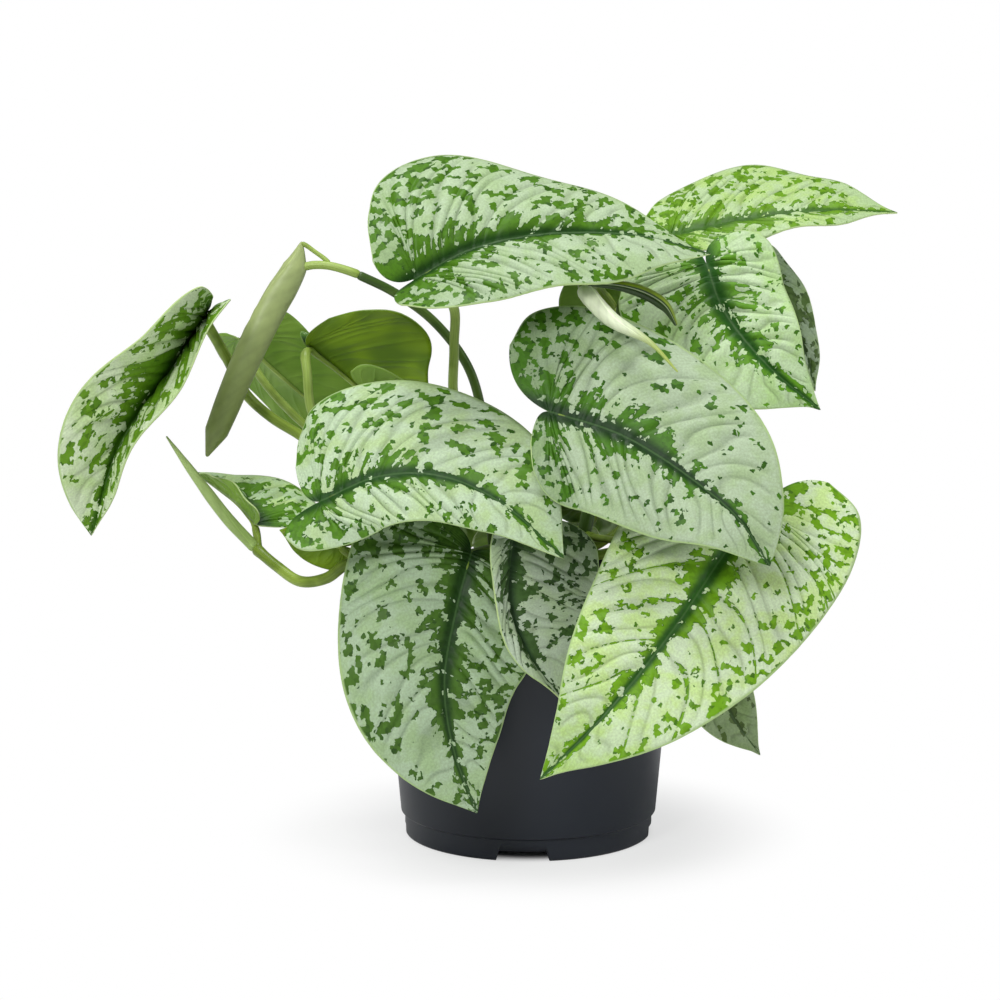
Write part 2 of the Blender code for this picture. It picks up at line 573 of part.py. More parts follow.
def make_socket(name, stem, surface):
    """The hole in which a stem stands."""
    x, y = stem.route[0]
    bottom = mix_height(x, y) - SOCKET_DEPTH - GAP
    depth = SOCKET_DEPTH + 8
    bm = bmesh.new()
    bmesh.ops.create_cone(bm, cap_ends=True, segments=8, radius1=(stem.radius + SOCKET_SLACK) * MM,
                          radius2=(stem.radius + SOCKET_SLACK) * MM, depth=depth * MM,
                          matrix=Matrix.Translation((x * MM, y * MM, (bottom + depth / 2) * MM)))
    return finish_mesh("socket_of_" + name, bm, surface)


def main():
    remove_old_objects()
    leaf_green = material("variegated_leaf", (0.42, 0.58, 0.33), 0.45)
    young_green = material("young_leaf", (0.40, 0.48, 0.20), 0.45)
    stem_green = material("stem", (0.20, 0.30, 0.07), 0.45)
    mix_brown = material("potting_mix", (0.035, 0.025, 0.018), 0.95)
    pot_grey = material("pot_plastic", (0.035, 0.04, 0.05), 0.42)
    make_pot(pot_grey)
    make_mix(mix_brown)
    for name, leaf in LEAVES.items():
        make_leaf(name, leaf, leaf_green)
    for name, stem in STEMS.items():
        make_tube(name, stem_route(stem), (stem.radius, stem.radius), stem_green, STEM_BEVEL)
    for name, stalk in STALKS.items():
        make_tube(name, stalk_route(stalk), (stalk.radius, stalk.radius), stem_green, STALK_BEVEL)
    for name, roll in ROLLS.items():
        make_tube(name, roll.route, roll.radii, young_green, STALK_BEVEL)


main()
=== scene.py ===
# %% [markdown]
# # A potted scindapsus
# This is a young vine with heart-shaped silver leaves, as it is sold in a 12 cm nursery pot.
# The plain model is loaded first and stays where it is. Each of its solids is then replaced by
# a finer piece in the same place, so nothing has to be fitted afterwards.

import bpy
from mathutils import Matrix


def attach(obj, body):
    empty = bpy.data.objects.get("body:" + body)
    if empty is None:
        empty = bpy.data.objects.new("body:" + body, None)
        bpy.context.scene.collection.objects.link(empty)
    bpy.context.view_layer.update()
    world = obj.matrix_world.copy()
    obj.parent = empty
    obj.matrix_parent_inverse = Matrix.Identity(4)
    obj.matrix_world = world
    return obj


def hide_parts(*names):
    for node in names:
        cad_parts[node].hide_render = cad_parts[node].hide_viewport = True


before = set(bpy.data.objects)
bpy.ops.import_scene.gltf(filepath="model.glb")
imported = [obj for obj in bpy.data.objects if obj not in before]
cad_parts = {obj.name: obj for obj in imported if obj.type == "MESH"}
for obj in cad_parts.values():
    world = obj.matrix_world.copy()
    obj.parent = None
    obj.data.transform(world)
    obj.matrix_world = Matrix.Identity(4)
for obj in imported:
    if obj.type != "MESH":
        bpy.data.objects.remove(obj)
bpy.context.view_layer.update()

# %% Tools and units
import math
import random
from collections import namedtuple

import bmesh
import bpy
import numpy as np
from mathutils import Matrix, Vector, noise

MM = 0.001                   # all sizes below are in millimetres
CHANCE = random.Random(7)
scene = bpy.context.scene
print("sizes are given in mm, and Blender works in metres")

# %% [markdown]
# ## Camera
# A short lens close by would make the near leaves look swollen. So the camera stands far away
# and has a long lens, a little above the leaves, and looks down by about 10 degrees.

# %% Camera
EYE = (-10.2, -1300, 343)
LOOK_DOWN = math.radians(9.7)
LENS = 133.5                 # for a sensor 36 mm wide

camera = bpy.data.objects.new("camera", bpy.data.cameras.new("camera"))
camera.data.lens = LENS
camera.data.sensor_width = 36
camera.location = Vector(EYE) * MM
camera.rotation_euler = (math.pi / 2 - LOOK_DOWN, 0, 0)
scene.collection.objects.link(camera)
scene.camera = camera
print("camera", round(camera.location.length, 2), "m from the foot of the pot")

# %% [markdown]
# ## Painting with nodes
# Every finish below is a node tree. Placing and linking nodes one by one takes many lines and
# hides the recipe. `Paint` holds one material, and its short calls add a node and join it up:
# a number or a colour is written on the socket, and another node's output is linked to it.
# That keeps each recipe close to a list of steps.

# %% The Paint helper
class Paint:
    """One material and its node tree."""

    def __init__(self, name):
        self.material = bpy.data.materials.new(name)
        self.material.use_nodes = True
        self.tree = self.material.node_tree
        self.shader = self.tree.nodes["Principled BSDF"]

    def put(self, socket, value):
        if isinstance(value, bpy.types.NodeSocket):
            self.tree.links.new(value, socket)
        elif socket.type == "RGBA" and len(value) == 3:
            socket.default_value = (*value, 1)
        else:
            socket.default_value = value

    def node(self, kind, inputs, **settings):
        made = self.tree.nodes.new("ShaderNode" + kind)
        for key, value in settings.items():
            setattr(made, key, value)
        for key, value in inputs.items():
            self.put(made.inputs[key], value)
        return made

    def calc(self, operation, *values):
        return self.node("Math", dict(enumerate(values)), operation=operation).outputs[0]

    def add(self, total, *parts):
        for part in parts:
            total = self.calc("ADD", total, part)
        return total

    def times(self, product, *parts):
        for part in parts:
            product = self.calc("MULTIPLY", product, part)
        return product

    def step(self, value, low, high, start=0.0, end=1.0):
        """A smooth change from start to end while value goes from low to high."""
        made = self.node("MapRange", {0: value, 1: low, 2: high, 3: start, 4: end})
        made.interpolation_type = "SMOOTHSTEP"
        return made.outputs[0]

    def mix(self, share, first, second):
        made = self.node("Mix", {0: share, 6: first, 7: second}, data_type="RGBA")
        return made.outputs[2]

    def shade(self, colour, factor):
        """The colour made darker below factor 1 and lighter above it."""
        grey = self.node("CombineColor", {0: factor, 1: factor, 2: factor}).outputs[0]
        made = self.node("Mix", {0: 1.0, 6: colour, 7: grey}, data_type="RGBA",
                         blend_type="MULTIPLY")
        return made.outputs[2]

    def scaled(self, vector, x, y, z=0.0, dx=0.0, dy=0.0):
        return self.node("Mapping", {"Vector": vector, "Scale": (x, y, z),
                                     "Location": (dx, dy, 0)}).outputs[0]

    def noise(self, vector, scale, detail=2.0, roughness=0.5):
        made = self.node("TexNoise", {"Vector": vector, "Scale": scale, "Detail": detail,
                                      "Roughness": roughness})
        return made.outputs["Fac"]

    def luck(self, vector):
        """The same random number, 0 to 1, everywhere that the vector is the same."""
        return self.node("TexWhiteNoise", {"Vector": vector}).outputs["Value"]

    def uv(self, layer):
        return self.node("UVMap", {}, uv_map=layer).outputs[0]

    def place(self):
        return self.node("TexCoord", {}).outputs["Object"]

    def split(self, vector):
        made = self.node("SeparateXYZ", {0: vector})
        return made.outputs[0], made.outputs[1]

    def bump(self, height, distance, strength=1.0, under=None):
        made = self.node("Bump", {"Height": height, "Distance": distance, "Strength": strength})
        if under:
            self.put(made.inputs["Normal"], under)
        return made.outputs[0]

    def finish(self, colour, roughness, **sockets):
        self.put(self.shader.inputs["Base Color"], colour)
        self.put(self.shader.inputs["Roughness"], roughness)
        for key, value in sockets.items():
            self.put(self.shader.inputs[key.replace("_", " ")], value)
        return self.material


def srgb(red, green, blue):
    """A colour as a paint chart gives it, from 0 to 255, in the values that shaders use."""
    share = [c / 255 for c in (red, green, blue)]
    return tuple(c / 12.92 if c <= 0.04045 else ((c + 0.055) / 1.055) ** 2.4 for c in share)


print("a mid grey of 188 is", round(srgb(188, 188, 188)[0], 2), "in shader values")

# %% [markdown]
# ## Floor and light
# Plain studio light: a soft lamp above, one from the front left, a weaker one from the right,
# and an even surround that fills the shadows. Seen by the camera the surround is pure white.
# The floor takes the shadow round the pot. A plain grey floor would end in a horizon, so this
# one turns into the same white further out.

# %% Floor
FLOOR_RADIUS = 40            # metres, as all sizes in this cell
UNDER_POT = (0.035, 0.046)   # the floor gives no light of its own up to the first radius
SHADOW = (0.045, 0.105)      # the shadow fades out between these radii
GLOW_AT_POT = 0.66           # share of pure white beside the pot


def make_floor():
    bm = bmesh.new()
    bmesh.ops.create_circle(bm, cap_ends=True, segments=64, radius=FLOOR_RADIUS)
    mesh = bpy.data.meshes.new("floor")
    bm.to_mesh(mesh)
    bm.free()
    floor = bpy.data.objects.new("floor", mesh)
    scene.collection.objects.link(floor)
    paint = Paint("studio_floor")
    distance = paint.node("VectorMath", {0: paint.place()}, operation="LENGTH").outputs["Value"]
    far = paint.step(distance, *SHADOW, GLOW_AT_POT, 1.0)
    not_under_pot = paint.step(distance, *UNDER_POT)
    seen = paint.node("LightPath", {}).outputs["Is Camera Ray"]
    share = paint.times(far, not_under_pot, seen)
    white = paint.node("Emission", {"Color": (1, 1, 1), "Strength": 1.0}).outputs[0]
    paint.finish((0.85, 0.85, 0.85), 0.9, Specular_IOR_Level=0.1)
    both = paint.node("MixShader", {0: share, 1: paint.shader.outputs[0], 2: white})
    paint.tree.links.new(both.outputs[0], paint.tree.nodes["Material Output"].inputs[0])
    mesh.materials.append(paint.material)


make_floor()
print("a floor", 2 * FLOOR_RADIUS, "m wide")

# %% Lamps and surround
def make_lamp(name, place, aim, size, watts):
    lamp = bpy.data.objects.new(name, bpy.data.lights.new(name, "AREA"))
    lamp.data.shape = "DISK"
    lamp.data.size = size
    lamp.data.energy = watts
    lamp.location = place
    lamp.rotation_euler = (Vector(aim) - Vector(place)).to_track_quat("-Z", "Y").to_euler()
    scene.collection.objects.link(lamp)


make_lamp("lamp_above", (-0.20, -0.05, 1.4), (0, 0, 0.15), 0.6, 10.5)
make_lamp("lamp_front_left", (-0.6, -1.25, 1.1), (0, 0, 0.12), 0.6, 13.0)
make_lamp("lamp_right", (1.4, -0.4, 0.5), (0, 0, 0.1), 0.7, 5.5)

FILL = (0.95, 0.98, 1, 1)    # a touch cool
FILL_STRENGTH = 0.30
world = bpy.data.worlds.new("surround")
world.use_nodes = True
scene.world = world
sky = world.node_tree
light_path = sky.nodes.new("ShaderNodeLightPath")
white = sky.nodes.new("ShaderNodeBackground")
white.inputs["Color"].default_value = (1, 1, 1, 1)
fill = sky.nodes["Background"]
fill.inputs["Color"].default_value = FILL
fill.inputs["Strength"].default_value = FILL_STRENGTH
choose = sky.nodes.new("ShaderNodeMixShader")
for source, target in ((light_path.outputs["Is Camera Ray"], choose.inputs[0]),
                       (fill.outputs[0], choose.inputs[1]), (white.outputs[0], choose.inputs[2]),
                       (choose.outputs[0], sky.nodes["World Output"].inputs[0])):
    sky.links.new(source, target)
scene.view_settings.view_transform = "Standard"
print("3 lamps and a white surround")

# %% [markdown]
# ## The plan of the plant
# Modelling a plant by eye, leaf by leaf, is slow to correct. Here a few given points per
# piece say where it grows, in millimetres from the middle of the pot's underside, and a smooth
# curve through them gives everything in between. To move a leaf is to change a few numbers.

# %% Smooth curves
def curve_knots(given):
    """Where the given points lie along their curve: even steps in the root of the distance."""
    return np.concatenate([[0], np.cumsum(np.linalg.norm(np.diff(given, axis=0), axis=1) ** 0.5)])


def smooth_curve(points, count):
    given = np.array(points, float)
    knots = curve_knots(given)
    place = np.linspace(0, knots[-1], count)
    slopes = np.gradient(given, knots, axis=0)
    k = np.clip(np.searchsorted(knots, place, side="right") - 1, 0, len(given) - 2)
    span = (knots[k + 1] - knots[k])[:, None]
    f = (place - knots[k])[:, None] / span
    return ((1 + 2 * f) * (1 - f) ** 2 * given[k] + f * (1 - f) ** 2 * span * slopes[k]
            + f ** 2 * (3 - 2 * f) * given[k + 1] - f ** 2 * (1 - f) * span * slopes[k + 1])


def unit(vectors):
    return vectors / np.linalg.norm(vectors, axis=-1, keepdims=True)


def path_lengths(points):
    return np.concatenate([[0], np.cumsum(np.linalg.norm(np.diff(points, axis=0), axis=1))])


def at(positions, lengths, table):
    """Rows of table, read at the given positions along the path."""
    return np.stack([np.interp(positions, lengths, table[:, k]) for k in range(3)], axis=-1)


print("a bend through 3 points:", smooth_curve([(0, 0), (2, 1), (4, 0)], 5).round(2).tolist())

# %% Plan of the leaves
Leaf = namedtuple("Leaf", "midrib facing half lobe fold curl fold_tip sweep full peak",
                  defaults=((5, 5), (-20, -20), None, (0, 0), (1, 1), (0, 0)))
# midrib: from the stalk to the tip. facing: the way the upper side looks. half, lobe: widest
# half width and length behind the stalk, left and right as seen from above with the tip
# ahead. fold: degrees each half is raised at the stalk, and fold_tip at the tip where that
# differs. curl: degrees it turns further on its way to the margin (below 0 is down).
# sweep: how far the margin leans towards the tip, as a share of its distance from the midrib.
# full: above 1 the half stays broad for longer before its tip.
# peak: how far its widest place is moved towards the tip, as a share of the length.
LEAVES = {
    "leaf_top": Leaf(
        [(-39, -52, 205.5), (-20.5, -48, 215), (5, -44, 220), (38, -41, 219), (61.5, -39, 212.5)],
        facing=(0, -0.5, 0.87), half=(43, 30), lobe=(13, 16), fold=(54, 14), fold_tip=(0, -10),
        curl=(-55, -16), sweep=(0.28, 0.5), full=(0.8, 1.2), peak=(-0.16, 0.03)),
    "leaf_top_right": Leaf(
        [(50, 13, 213.5), (76, 14, 219), (103, 14, 222.5), (131, 16, 221.5)],
        facing=(-0.1, -0.4, 0.9), half=(37, 16), lobe=(12, 4), curl=(-10, -10), sweep=(0.4, 0.3)),
    "leaf_right": Leaf(
        [(62, -6, 206), (68, -15, 190), (83, -25, 172), (101, -27, 157)],
        facing=(-0.15, -0.88, 0.45), half=(24, 34), lobe=(8, 12), full=(1.0, 0.8)),
    "leaf_right_behind": Leaf(
        [(81, 22, 203), (91, 21, 189), (99, 20, 172), (103, 20, 157)], facing=(0.5, -0.8, 0.3),
        half=(11, 14), lobe=(4, 4), fold=(10, 10), curl=(-10, -10)),
    "leaf_centre_right": Leaf(
        [(6, -70, 163), (30, -76, 156), (53, -86, 143), (69, -94, 130), (79, -96, 115)],
        facing=(0.1, -0.87, 0.48), half=(42, 30), lobe=(19, 6), sweep=(-0.1, 0.35),
        full=(1.3, 1.3)),
    "leaf_centre_left": Leaf(
        [(-71, -68, 132), (-51, -71, 141), (-30, -76, 142), (-10, -82, 134), (11, -88, 116)],
        facing=(-0.05, -0.8, 0.6), half=(37, 19), lobe=(8, 16), sweep=(0.2, 0.15),
        full=(1.2, 1.2)),
    "leaf_left_small": Leaf(
        [(-96, -20, 116), (-102.5, -11, 121.5), (-110.5, 1, 125), (-119.6, 13, 128.5)],
        facing=(0, -0.6, 0.8), half=(7, 27), lobe=(2, 4), fold=(95, -10), curl=(0, -8),
        sweep=(0, -0.2)),
    "leaf_left_drooping": Leaf(
        [(-113, -5, 188), (-127, -19, 167), (-142, -30, 145), (-152, -34, 114)],
        facing=(0.3, -0.9, 0.3), half=(22, 31), lobe=(4, 4), fold=(85, 72), curl=(0, 10),
        fold_tip=(70, 5), sweep=(0, 0.2), full=(1, 1.3), peak=(0, 0.08)),
    "leaf_back_left": Leaf(
        [(-105, 45, 173), (-90, 60, 156), (-74, 73, 140), (-56, 81, 125)],
        facing=(-0.3, 0.85, 0.4), half=(16, 18.5), lobe=(1, 0.5), fold=(55, 15), fold_tip=(-5, 5),
        curl=(-10, -10), sweep=(0, 0.3), full=(1.2, 1), peak=(0.1, 0.22)),
    "leaf_back_middle": Leaf(
        [(-80, 28, 173), (-68, 37, 162), (-56, 44, 150), (-36, 48, 133)], facing=(0.1, 0.8, 0.6),
        half=(8, 37), lobe=(2, 6), fold=(80, 12), fold_tip=(80, 0), curl=(0, -10),
        sweep=(0, 0.25)),
    "leaf_back_centre": Leaf(
        [(-55.5, -34, 165), (-44, -32, 159), (-30, -31, 151.5), (-14, -32, 142)],
        facing=(0.1, 0.8, 0.6), half=(7, 12), lobe=(2, 9), curl=(-10, -10)),
    "leaf_front_left": Leaf(
        [(-20, -62, 113), (-25, -69, 95), (-29, -74, 71), (-26, -75, 48), (-18, -73, 25)],
        facing=(0.12, -0.95, 0.25), half=(30, 40), lobe=(4, 10), fold=(4, 4), sweep=(0.1, 0),
        full=(1.05, 1.15)),
    "leaf_front_middle": Leaf(
        [(-6, -69, 120), (-7, -76, 98), (0, -81, 81), (14, -80, 63)], facing=(0.35, -0.9, 0.3),
        half=(34, 12), lobe=(8, 8), fold=(0, 40), curl=(-20, 0)),
    "leaf_front_right": Leaf(
        [(77, -62, 128), (65, -75, 115), (47, -91, 92), (23, -104, 65), (3, -106, 45)],
        facing=(0.08, -0.9, 0.42), half=(39.5, 35), lobe=(24, 14), fold_tip=(22, 5),
        curl=(-15, -15), sweep=(-0.08, 0.1), full=(1, 1.1)),
    "leaf_right_low": Leaf(
        [(53, -44, 88), (62, -49, 68), (71, -50, 52), (80, -47, 39)], facing=(0.3, -0.9, 0.3),
        half=(17, 17), lobe=(5, 5), curl=(-10, -10)),
    "leaf_left_low": Leaf(
        [(-64, -42, 112), (-71, -42, 113), (-77, -43, 115), (-86, -45, 118)],
        facing=(0, 0.95, 0.3), half=(12, 10), lobe=(5, 5), curl=(-10, -10)),
    "leaf_inner": Leaf(
        [(26, 22, 193), (22, 25, 187), (19, 28, 180), (15, 32, 172)], facing=(0.2, 0.9, 0.3),
        half=(12, 12), lobe=(5, 5), curl=(-10, -10)),
    "leaf_side_right": Leaf(
        [(60, 10, 124), (76, 22, 116), (90, 32, 98), (96, 36, 80)], facing=(0.6, 0.3, 0.75),
        half=(24, 24), lobe=(9, 9), fold=(6, 6)),
    "leaf_rear_right": Leaf(
        [(24, 34, 112), (38, 51, 104), (50, 65, 88), (56, 72, 70)], facing=(0.4, 0.6, 0.75),
        half=(25, 27), lobe=(10, 10), fold=(6, 6)),
    "leaf_rear_left": Leaf(
        [(-20, 38, 111), (-30, 56, 103), (-39, 70, 87), (-42, 76, 69)], facing=(-0.3, 0.6, 0.75),
        half=(25, 25), lobe=(9, 9), fold=(6, 6)),
    "leaf_rear_low": Leaf(
        [(4, 62, 99), (4, 78, 89.5), (3, 85, 69), (1, 85, 48)], facing=(0, 0.8, 0.5),
        half=(25, 23), lobe=(9, 9), fold=(6, 6)),
}

print(len(LEAVES), "leaves")

# %% Plan of the stems
Stem = namedtuple("Stem", "route radius")
# Each stem starts in the mix: the first point gives only x and y.
STEMS = {
    "stem_back": Stem(
        [(-10, 14), (-13, 13, 104), (-15, 12, 130), (-17, 11, 152), (-22, 10, 168), (-34, 8, 184),
         (-48, 6, 194.5), (-60.8, 6, 200.8)], radius=1.7),
    "stem_left": Stem(
        [(-22, 14), (-32, 16, 104), (-48, 18, 117), (-62, 19, 129), (-76, 20, 138)], radius=2.3),
    "stem_low_left": Stem(
        [(-26, -22), (-34, -31, 96), (-45, -42, 103), (-55, -46, 106), (-63, -46, 106),
         (-70, -44, 101), (-79, -40, 99), (-88, -32, 103), (-96, -24, 108)], radius=2.0),
    "stem_centre": Stem(
        [(-6, -8), (-10, -10, 112), (-15, -13, 135), (-20, -16, 152)], radius=2.0),
    "stem_right": Stem(
        [(16, 6), (20, 6, 108), (26, 8, 138), (31, 10, 168), (34, 11, 192)], radius=2.2),
    "stem_front": Stem(
        [(6, -24), (5, -30, 100), (4, -36, 112)], radius=2.0),
    "stem_rear": Stem(
        [(8, 26), (7, 30, 96), (6, 33, 104)], radius=2.0),
}

print(len(STEMS), "stems")

# %% Plan of the leaf stalks
Stalk = namedtuple("Stalk", "stem share via radius arrive", defaults=(None,))
# Each stalk carries the leaf of the same name. In order: its stem and how far up that one it
# leaves, its way up, its radius and, where it doesn't come straight from below, the side it
# comes from at the leaf.
STALKS = {
    "stalk_top": Stalk(
        "stem_centre", 0.97, [(-26, -24, 160), (-26, -33, 180), (-26.6, -39.5, 195.5)], 1.7),
    "stalk_centre_left": Stalk("stem_low_left", 0.28, [(-50, -46, 112), (-60, -50, 118)], 1.6),
    "stalk_left_small": Stalk("stem_low_left", 0.985, [], 1.2),
    "stalk_left_low": Stalk("stem_low_left", 0.5, [], 1.1),
    "stalk_left_drooping": Stalk(
        "stem_left", 0.95, [(-83, 18, 142), (-92, 16, 148), (-101, 13, 157), (-107, 8, 170)], 1.9),
    "stalk_back_left": Stalk("stem_left", 0.8, [(-84, 30, 146), (-97, 34, 160)], 1.5),
    "stalk_back_middle": Stalk("stem_left", 0.98, [(-78, 20, 150), (-79.5, 21, 164)], 1.7),
    "stalk_back_centre": Stalk("stem_centre", 0.75, [(-28, -28, 140), (-46, -42, 150)], 1.3),
    "stalk_centre_right": Stalk("stem_right", 0.45, [(22, -20, 146), (12, -46, 155)], 1.8),
    "stalk_top_right": Stalk("stem_right", 0.97, [(43, 18, 202)], 1.6),
    "stalk_right": Stalk("stem_right", 0.9, [(44, 14, 190), (58, 16, 198)], 1.6),
    "stalk_right_behind": Stalk("stem_right", 0.8, [(50, 24, 184), (70, 32, 198)], 1.3),
    "stalk_inner": Stalk("stem_right", 0.93, [], 1.2, (0.4, -0.9, -0.3)),
    "stalk_front_left": Stalk("stem_front", 0.9, [(-8, -46, 112)], 1.7),
    "stalk_front_middle": Stalk("stem_front", 0.97, [(1, -46, 120)], 1.5, (-0.2, 0.85, 0.4)),
    "stalk_front_right": Stalk(
        "stem_front", 0.8, [(22, -40, 108), (46, -42, 114), (66, -50, 122)], 1.8),
    "stalk_right_low": Stalk(
        "stem_right", 0.33, [(32, -12, 108), (42, -27, 108), (49, -37, 101)], 1.3,
        (-0.3, 0.8, 0.4)),
    "stalk_side_right": Stalk("stem_right", 0.3, [(38, 8, 112)], 1.5),
    "stalk_rear_right": Stalk("stem_rear", 0.92, [(15, 33, 102)], 1.5),
    "stalk_rear_left": Stalk("stem_rear", 0.95, [(-7, 38, 102)], 1.5),
    "stalk_rear_low": Stalk("stem_rear", 0.8, [(7, 48, 99.5)], 1.4),
}
print(len(STALKS), "stalks")

# %% [markdown]
# ## Leaf blades
# A leaf is one thin curved sheet. It could be an outline filled with faces, but then nothing
# would follow its veins. So it starts as a flat grid whose rows become the veins: each row runs
# from the midrib out to the margin in an arc, and a pattern drawn straight along the rows
# follows them. The halves are then folded and curled about the midrib. Between the veins a
# real blade of this kind bulges upwards, like a quilt, and that shows in every highlight, so
# it is modelled and not left to the shader.
# The paint of the upper side darkens the grooves over the veins as well: that is painted shade.

# %% The flat leaf
CM = 10                      # millimetres
MARGIN_STEPS = 97
FAN = 0.28                   # share of the margin whose veins start at the leaf stalk
NOTCH = 0.15                 # share of the margin that bounds the notch at the stalk
VEIN_LEAN = 1.5              # above 1 the veins lean towards the tip
# along the leaf, below 0 on the lobe behind the stalk, and out from the midrib
MARGIN = [(-1.0, 0.36), (-0.80, 0.72), (-0.05, 0.95), (0.20, 1.0), (0.45, 0.88), (0.68, 0.62),
          (0.85, 0.29), (0.94, 0.10), (1.0, 0.0)]


def margin_at(share, length, half, lobe, full, peak):
    """Where the margin of one half lies, flat on the table, and how long it is."""
    points = []
    for along, across in MARGIN:
        if along > 0:
            along = along + peak * math.sin(math.pi * along)
        points.append((along * (lobe if along < 0 else length), across ** (1 / full) * half, 0))
    curve = smooth_curve(points, MARGIN_STEPS)
    lengths = path_lengths(curve)
    place = at(share * lengths[-1], lengths, curve)
    return place[:, 0], place[:, 1], lengths[-1]


def flat_leaf(across, share, length, half, lobe, full, peak):
    """One half of a flat leaf. share runs along the margin from lobe to tip; across runs
    along a vein from the midrib to the margin."""
    margin_s, margin_w, margin_length = margin_at(share, length, half, lobe, full, peak)
    vein_start = length * np.clip((share - FAN) / (1 - FAN), 0, 1) ** VEIN_LEAN
    hook = np.clip(1 - share / NOTCH, 0, 1)            # the first vein is the edge of the notch
    # a vein is an arc: it leaves the midrib, is pulled towards a bend and ends on the margin
    bend_s = vein_start + (margin_s - vein_start) * (0.2 + 0.65 * hook)
    bend_w = margin_w * (0.55 - 0.45 * hook)
    stay, pull, go = (1 - across) ** 2, 2 * across * (1 - across), across ** 2
    s = stay * vein_start + pull * bend_s + go * margin_s
    return s, pull * bend_w + go * margin_w, margin_length


half_margin = margin_at(np.zeros(1), 100, 40, 15, 1, 0)[2]
print("one half of a leaf 100 mm long has a margin of", round(half_margin), "mm")

# %% Folded and curled into its place
MIDRIB_STEPS = 61


def midrib_frame(leaf):
    """The midrib curve with, along it, the directions ahead, up and left."""
    curve = smooth_curve(leaf.midrib, MIDRIB_STEPS)
    lengths = path_lengths(curve)
    ahead = unit(np.gradient(curve, axis=0))
    facing = np.array(leaf.facing, float)
    up = unit(facing - ahead * (ahead @ facing)[:, None])
    left = np.cross(up, ahead)
    return curve, lengths, ahead, up, left


def leaf_points(leaf, across, share):
    """Places in space for grid points, their places along the veins and on the flat leaf
    in centimetres, and the length of the midrib in millimetres."""
    curve, lengths, ahead, up, left = midrib_frame(leaf)
    length = lengths[-1]
    fold_tip = leaf.fold_tip or leaf.fold
    on_left = across >= 0
    along, away, rise = (np.zeros_like(share) for _ in range(3))
    vein, flat = np.zeros((len(share), 2)), np.zeros((len(share), 2))
    for side, k in ((on_left, 0), (~on_left, 1)):
        s, w, margin = flat_leaf(np.abs(across[side]), share[side], length, leaf.half[k],
                                 leaf.lobe[k], leaf.full[k], leaf.peak[k])
        s = s + leaf.sweep[k] * w * np.clip((length - s) / length, 0, 1)
        mix = np.clip(s / length, 0, 1)
        first = np.radians(leaf.fold[k] * (1 - mix) + fold_tip[k] * mix)
        bend = math.radians(leaf.curl[k] or 0.1) / leaf.half[k]
        along[side] = s
        away[side] = (np.sin(first + bend * w) - np.sin(first)) / bend
        rise[side] = (np.cos(first) - np.cos(first + bend * w)) / bend
        vein[side] = np.stack([across[side] * leaf.half[k], share[side] * margin], axis=-1) / CM
        flat[side] = np.stack([w * np.sign(across[side]), s], axis=-1) / CM
    away = np.where(on_left, away, -away)
    on_rib = np.clip(along, 0, length)
    base = at(on_rib, lengths, curve) + ahead[0] * np.minimum(along, 0)[:, None]
    place = (base + unit(at(on_rib, lengths, left)) * away[:, None]
             + unit(at(on_rib, lengths, up)) * rise[:, None])
    return place, vein, flat, length


def midrib_length(leaf):
    return midrib_frame(leaf)[1][-1]


print("the top leaf is", round(midrib_length(LEAVES["leaf_top"])), "mm from stalk to tip")

# %% Relief of a blade
VEIN_SPACING = 7.0           # between main veins, measured along the leaf
GROOVE = 0.45                # depth of the groove over the midrib
GROOVE_WIDTH = 1.9


def groove_at(share):
    """Depth of the groove over the midrib, which runs out towards the tip."""
    return GROOVE * np.clip((1 - share) * 2.5, 0, 1)


def vein_phase(across, share, veins, turn):
    """Whole numbers on the main veins. The veins are not quite evenly spaced."""
    uneven = (0.35 * np.sin(2 * math.pi * (share * 3.1 + across * 0.5 + turn))
              + 0.25 * np.sin(2 * math.pi * (share * 7.3 - across * 0.7 + 3 * turn)))
    return share * veins + np.where(across < 0, 0.4, 0) + uneven


def relief(across, share, from_rib, along_rib, phase, quilt, wave, turn):
    """How far the blade stands above its smooth shape: bulges between veins, a groove over
    the midrib and a lazy wave along the margin. from_rib is in mm, along_rib a share."""
    out = np.abs(across)
    between = np.abs(np.sin(math.pi * phase)) ** 0.8
    uneven = 1 + 0.35 * np.sin(share * 41 + 9 * turn) * np.sin(out * 5 + share * 17)
    bulge = quilt * between * uneven * np.clip(out / 0.2, 0, 1)
    bulge = bulge * np.clip((1 - out) / 0.3, 0, 1) ** 0.7
    fade = np.clip((1 - share) / 0.3, 0, 1) * np.clip((share - 0.05) / 0.2, 0, 1)
    groove = groove_at(along_rib) * np.exp(-(from_rib / GROOVE_WIDTH) ** 2)
    lazy = wave * out ** 3 * np.sin(2 * math.pi * (share * 2.3 + turn) + np.sign(across))
    return bulge * fade - groove + lazy * np.clip((1 - share) / 0.2, 0, 1)


print("a main vein every", VEIN_SPACING, "mm and a groove", GROOVE, "mm deep")

# %% Grow a blade
BLADE = 0.5                  # thickness
WELD = 0.03                  # corners of the grid that lie this close become one


def add_object(name, bm, materials, node=None):
    """The finished piece, which rides with the plant and stands for its plain solid."""
    mesh = bpy.data.meshes.new(name)
    bm.to_mesh(mesh)
    bm.free()
    mesh.shade_smooth()
    made = bpy.data.objects.new(name, mesh)
    scene.collection.objects.link(made)
    for surface in materials:
        mesh.materials.append(surface)
    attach(made, "root")
    if node:
        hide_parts(node)
    return made


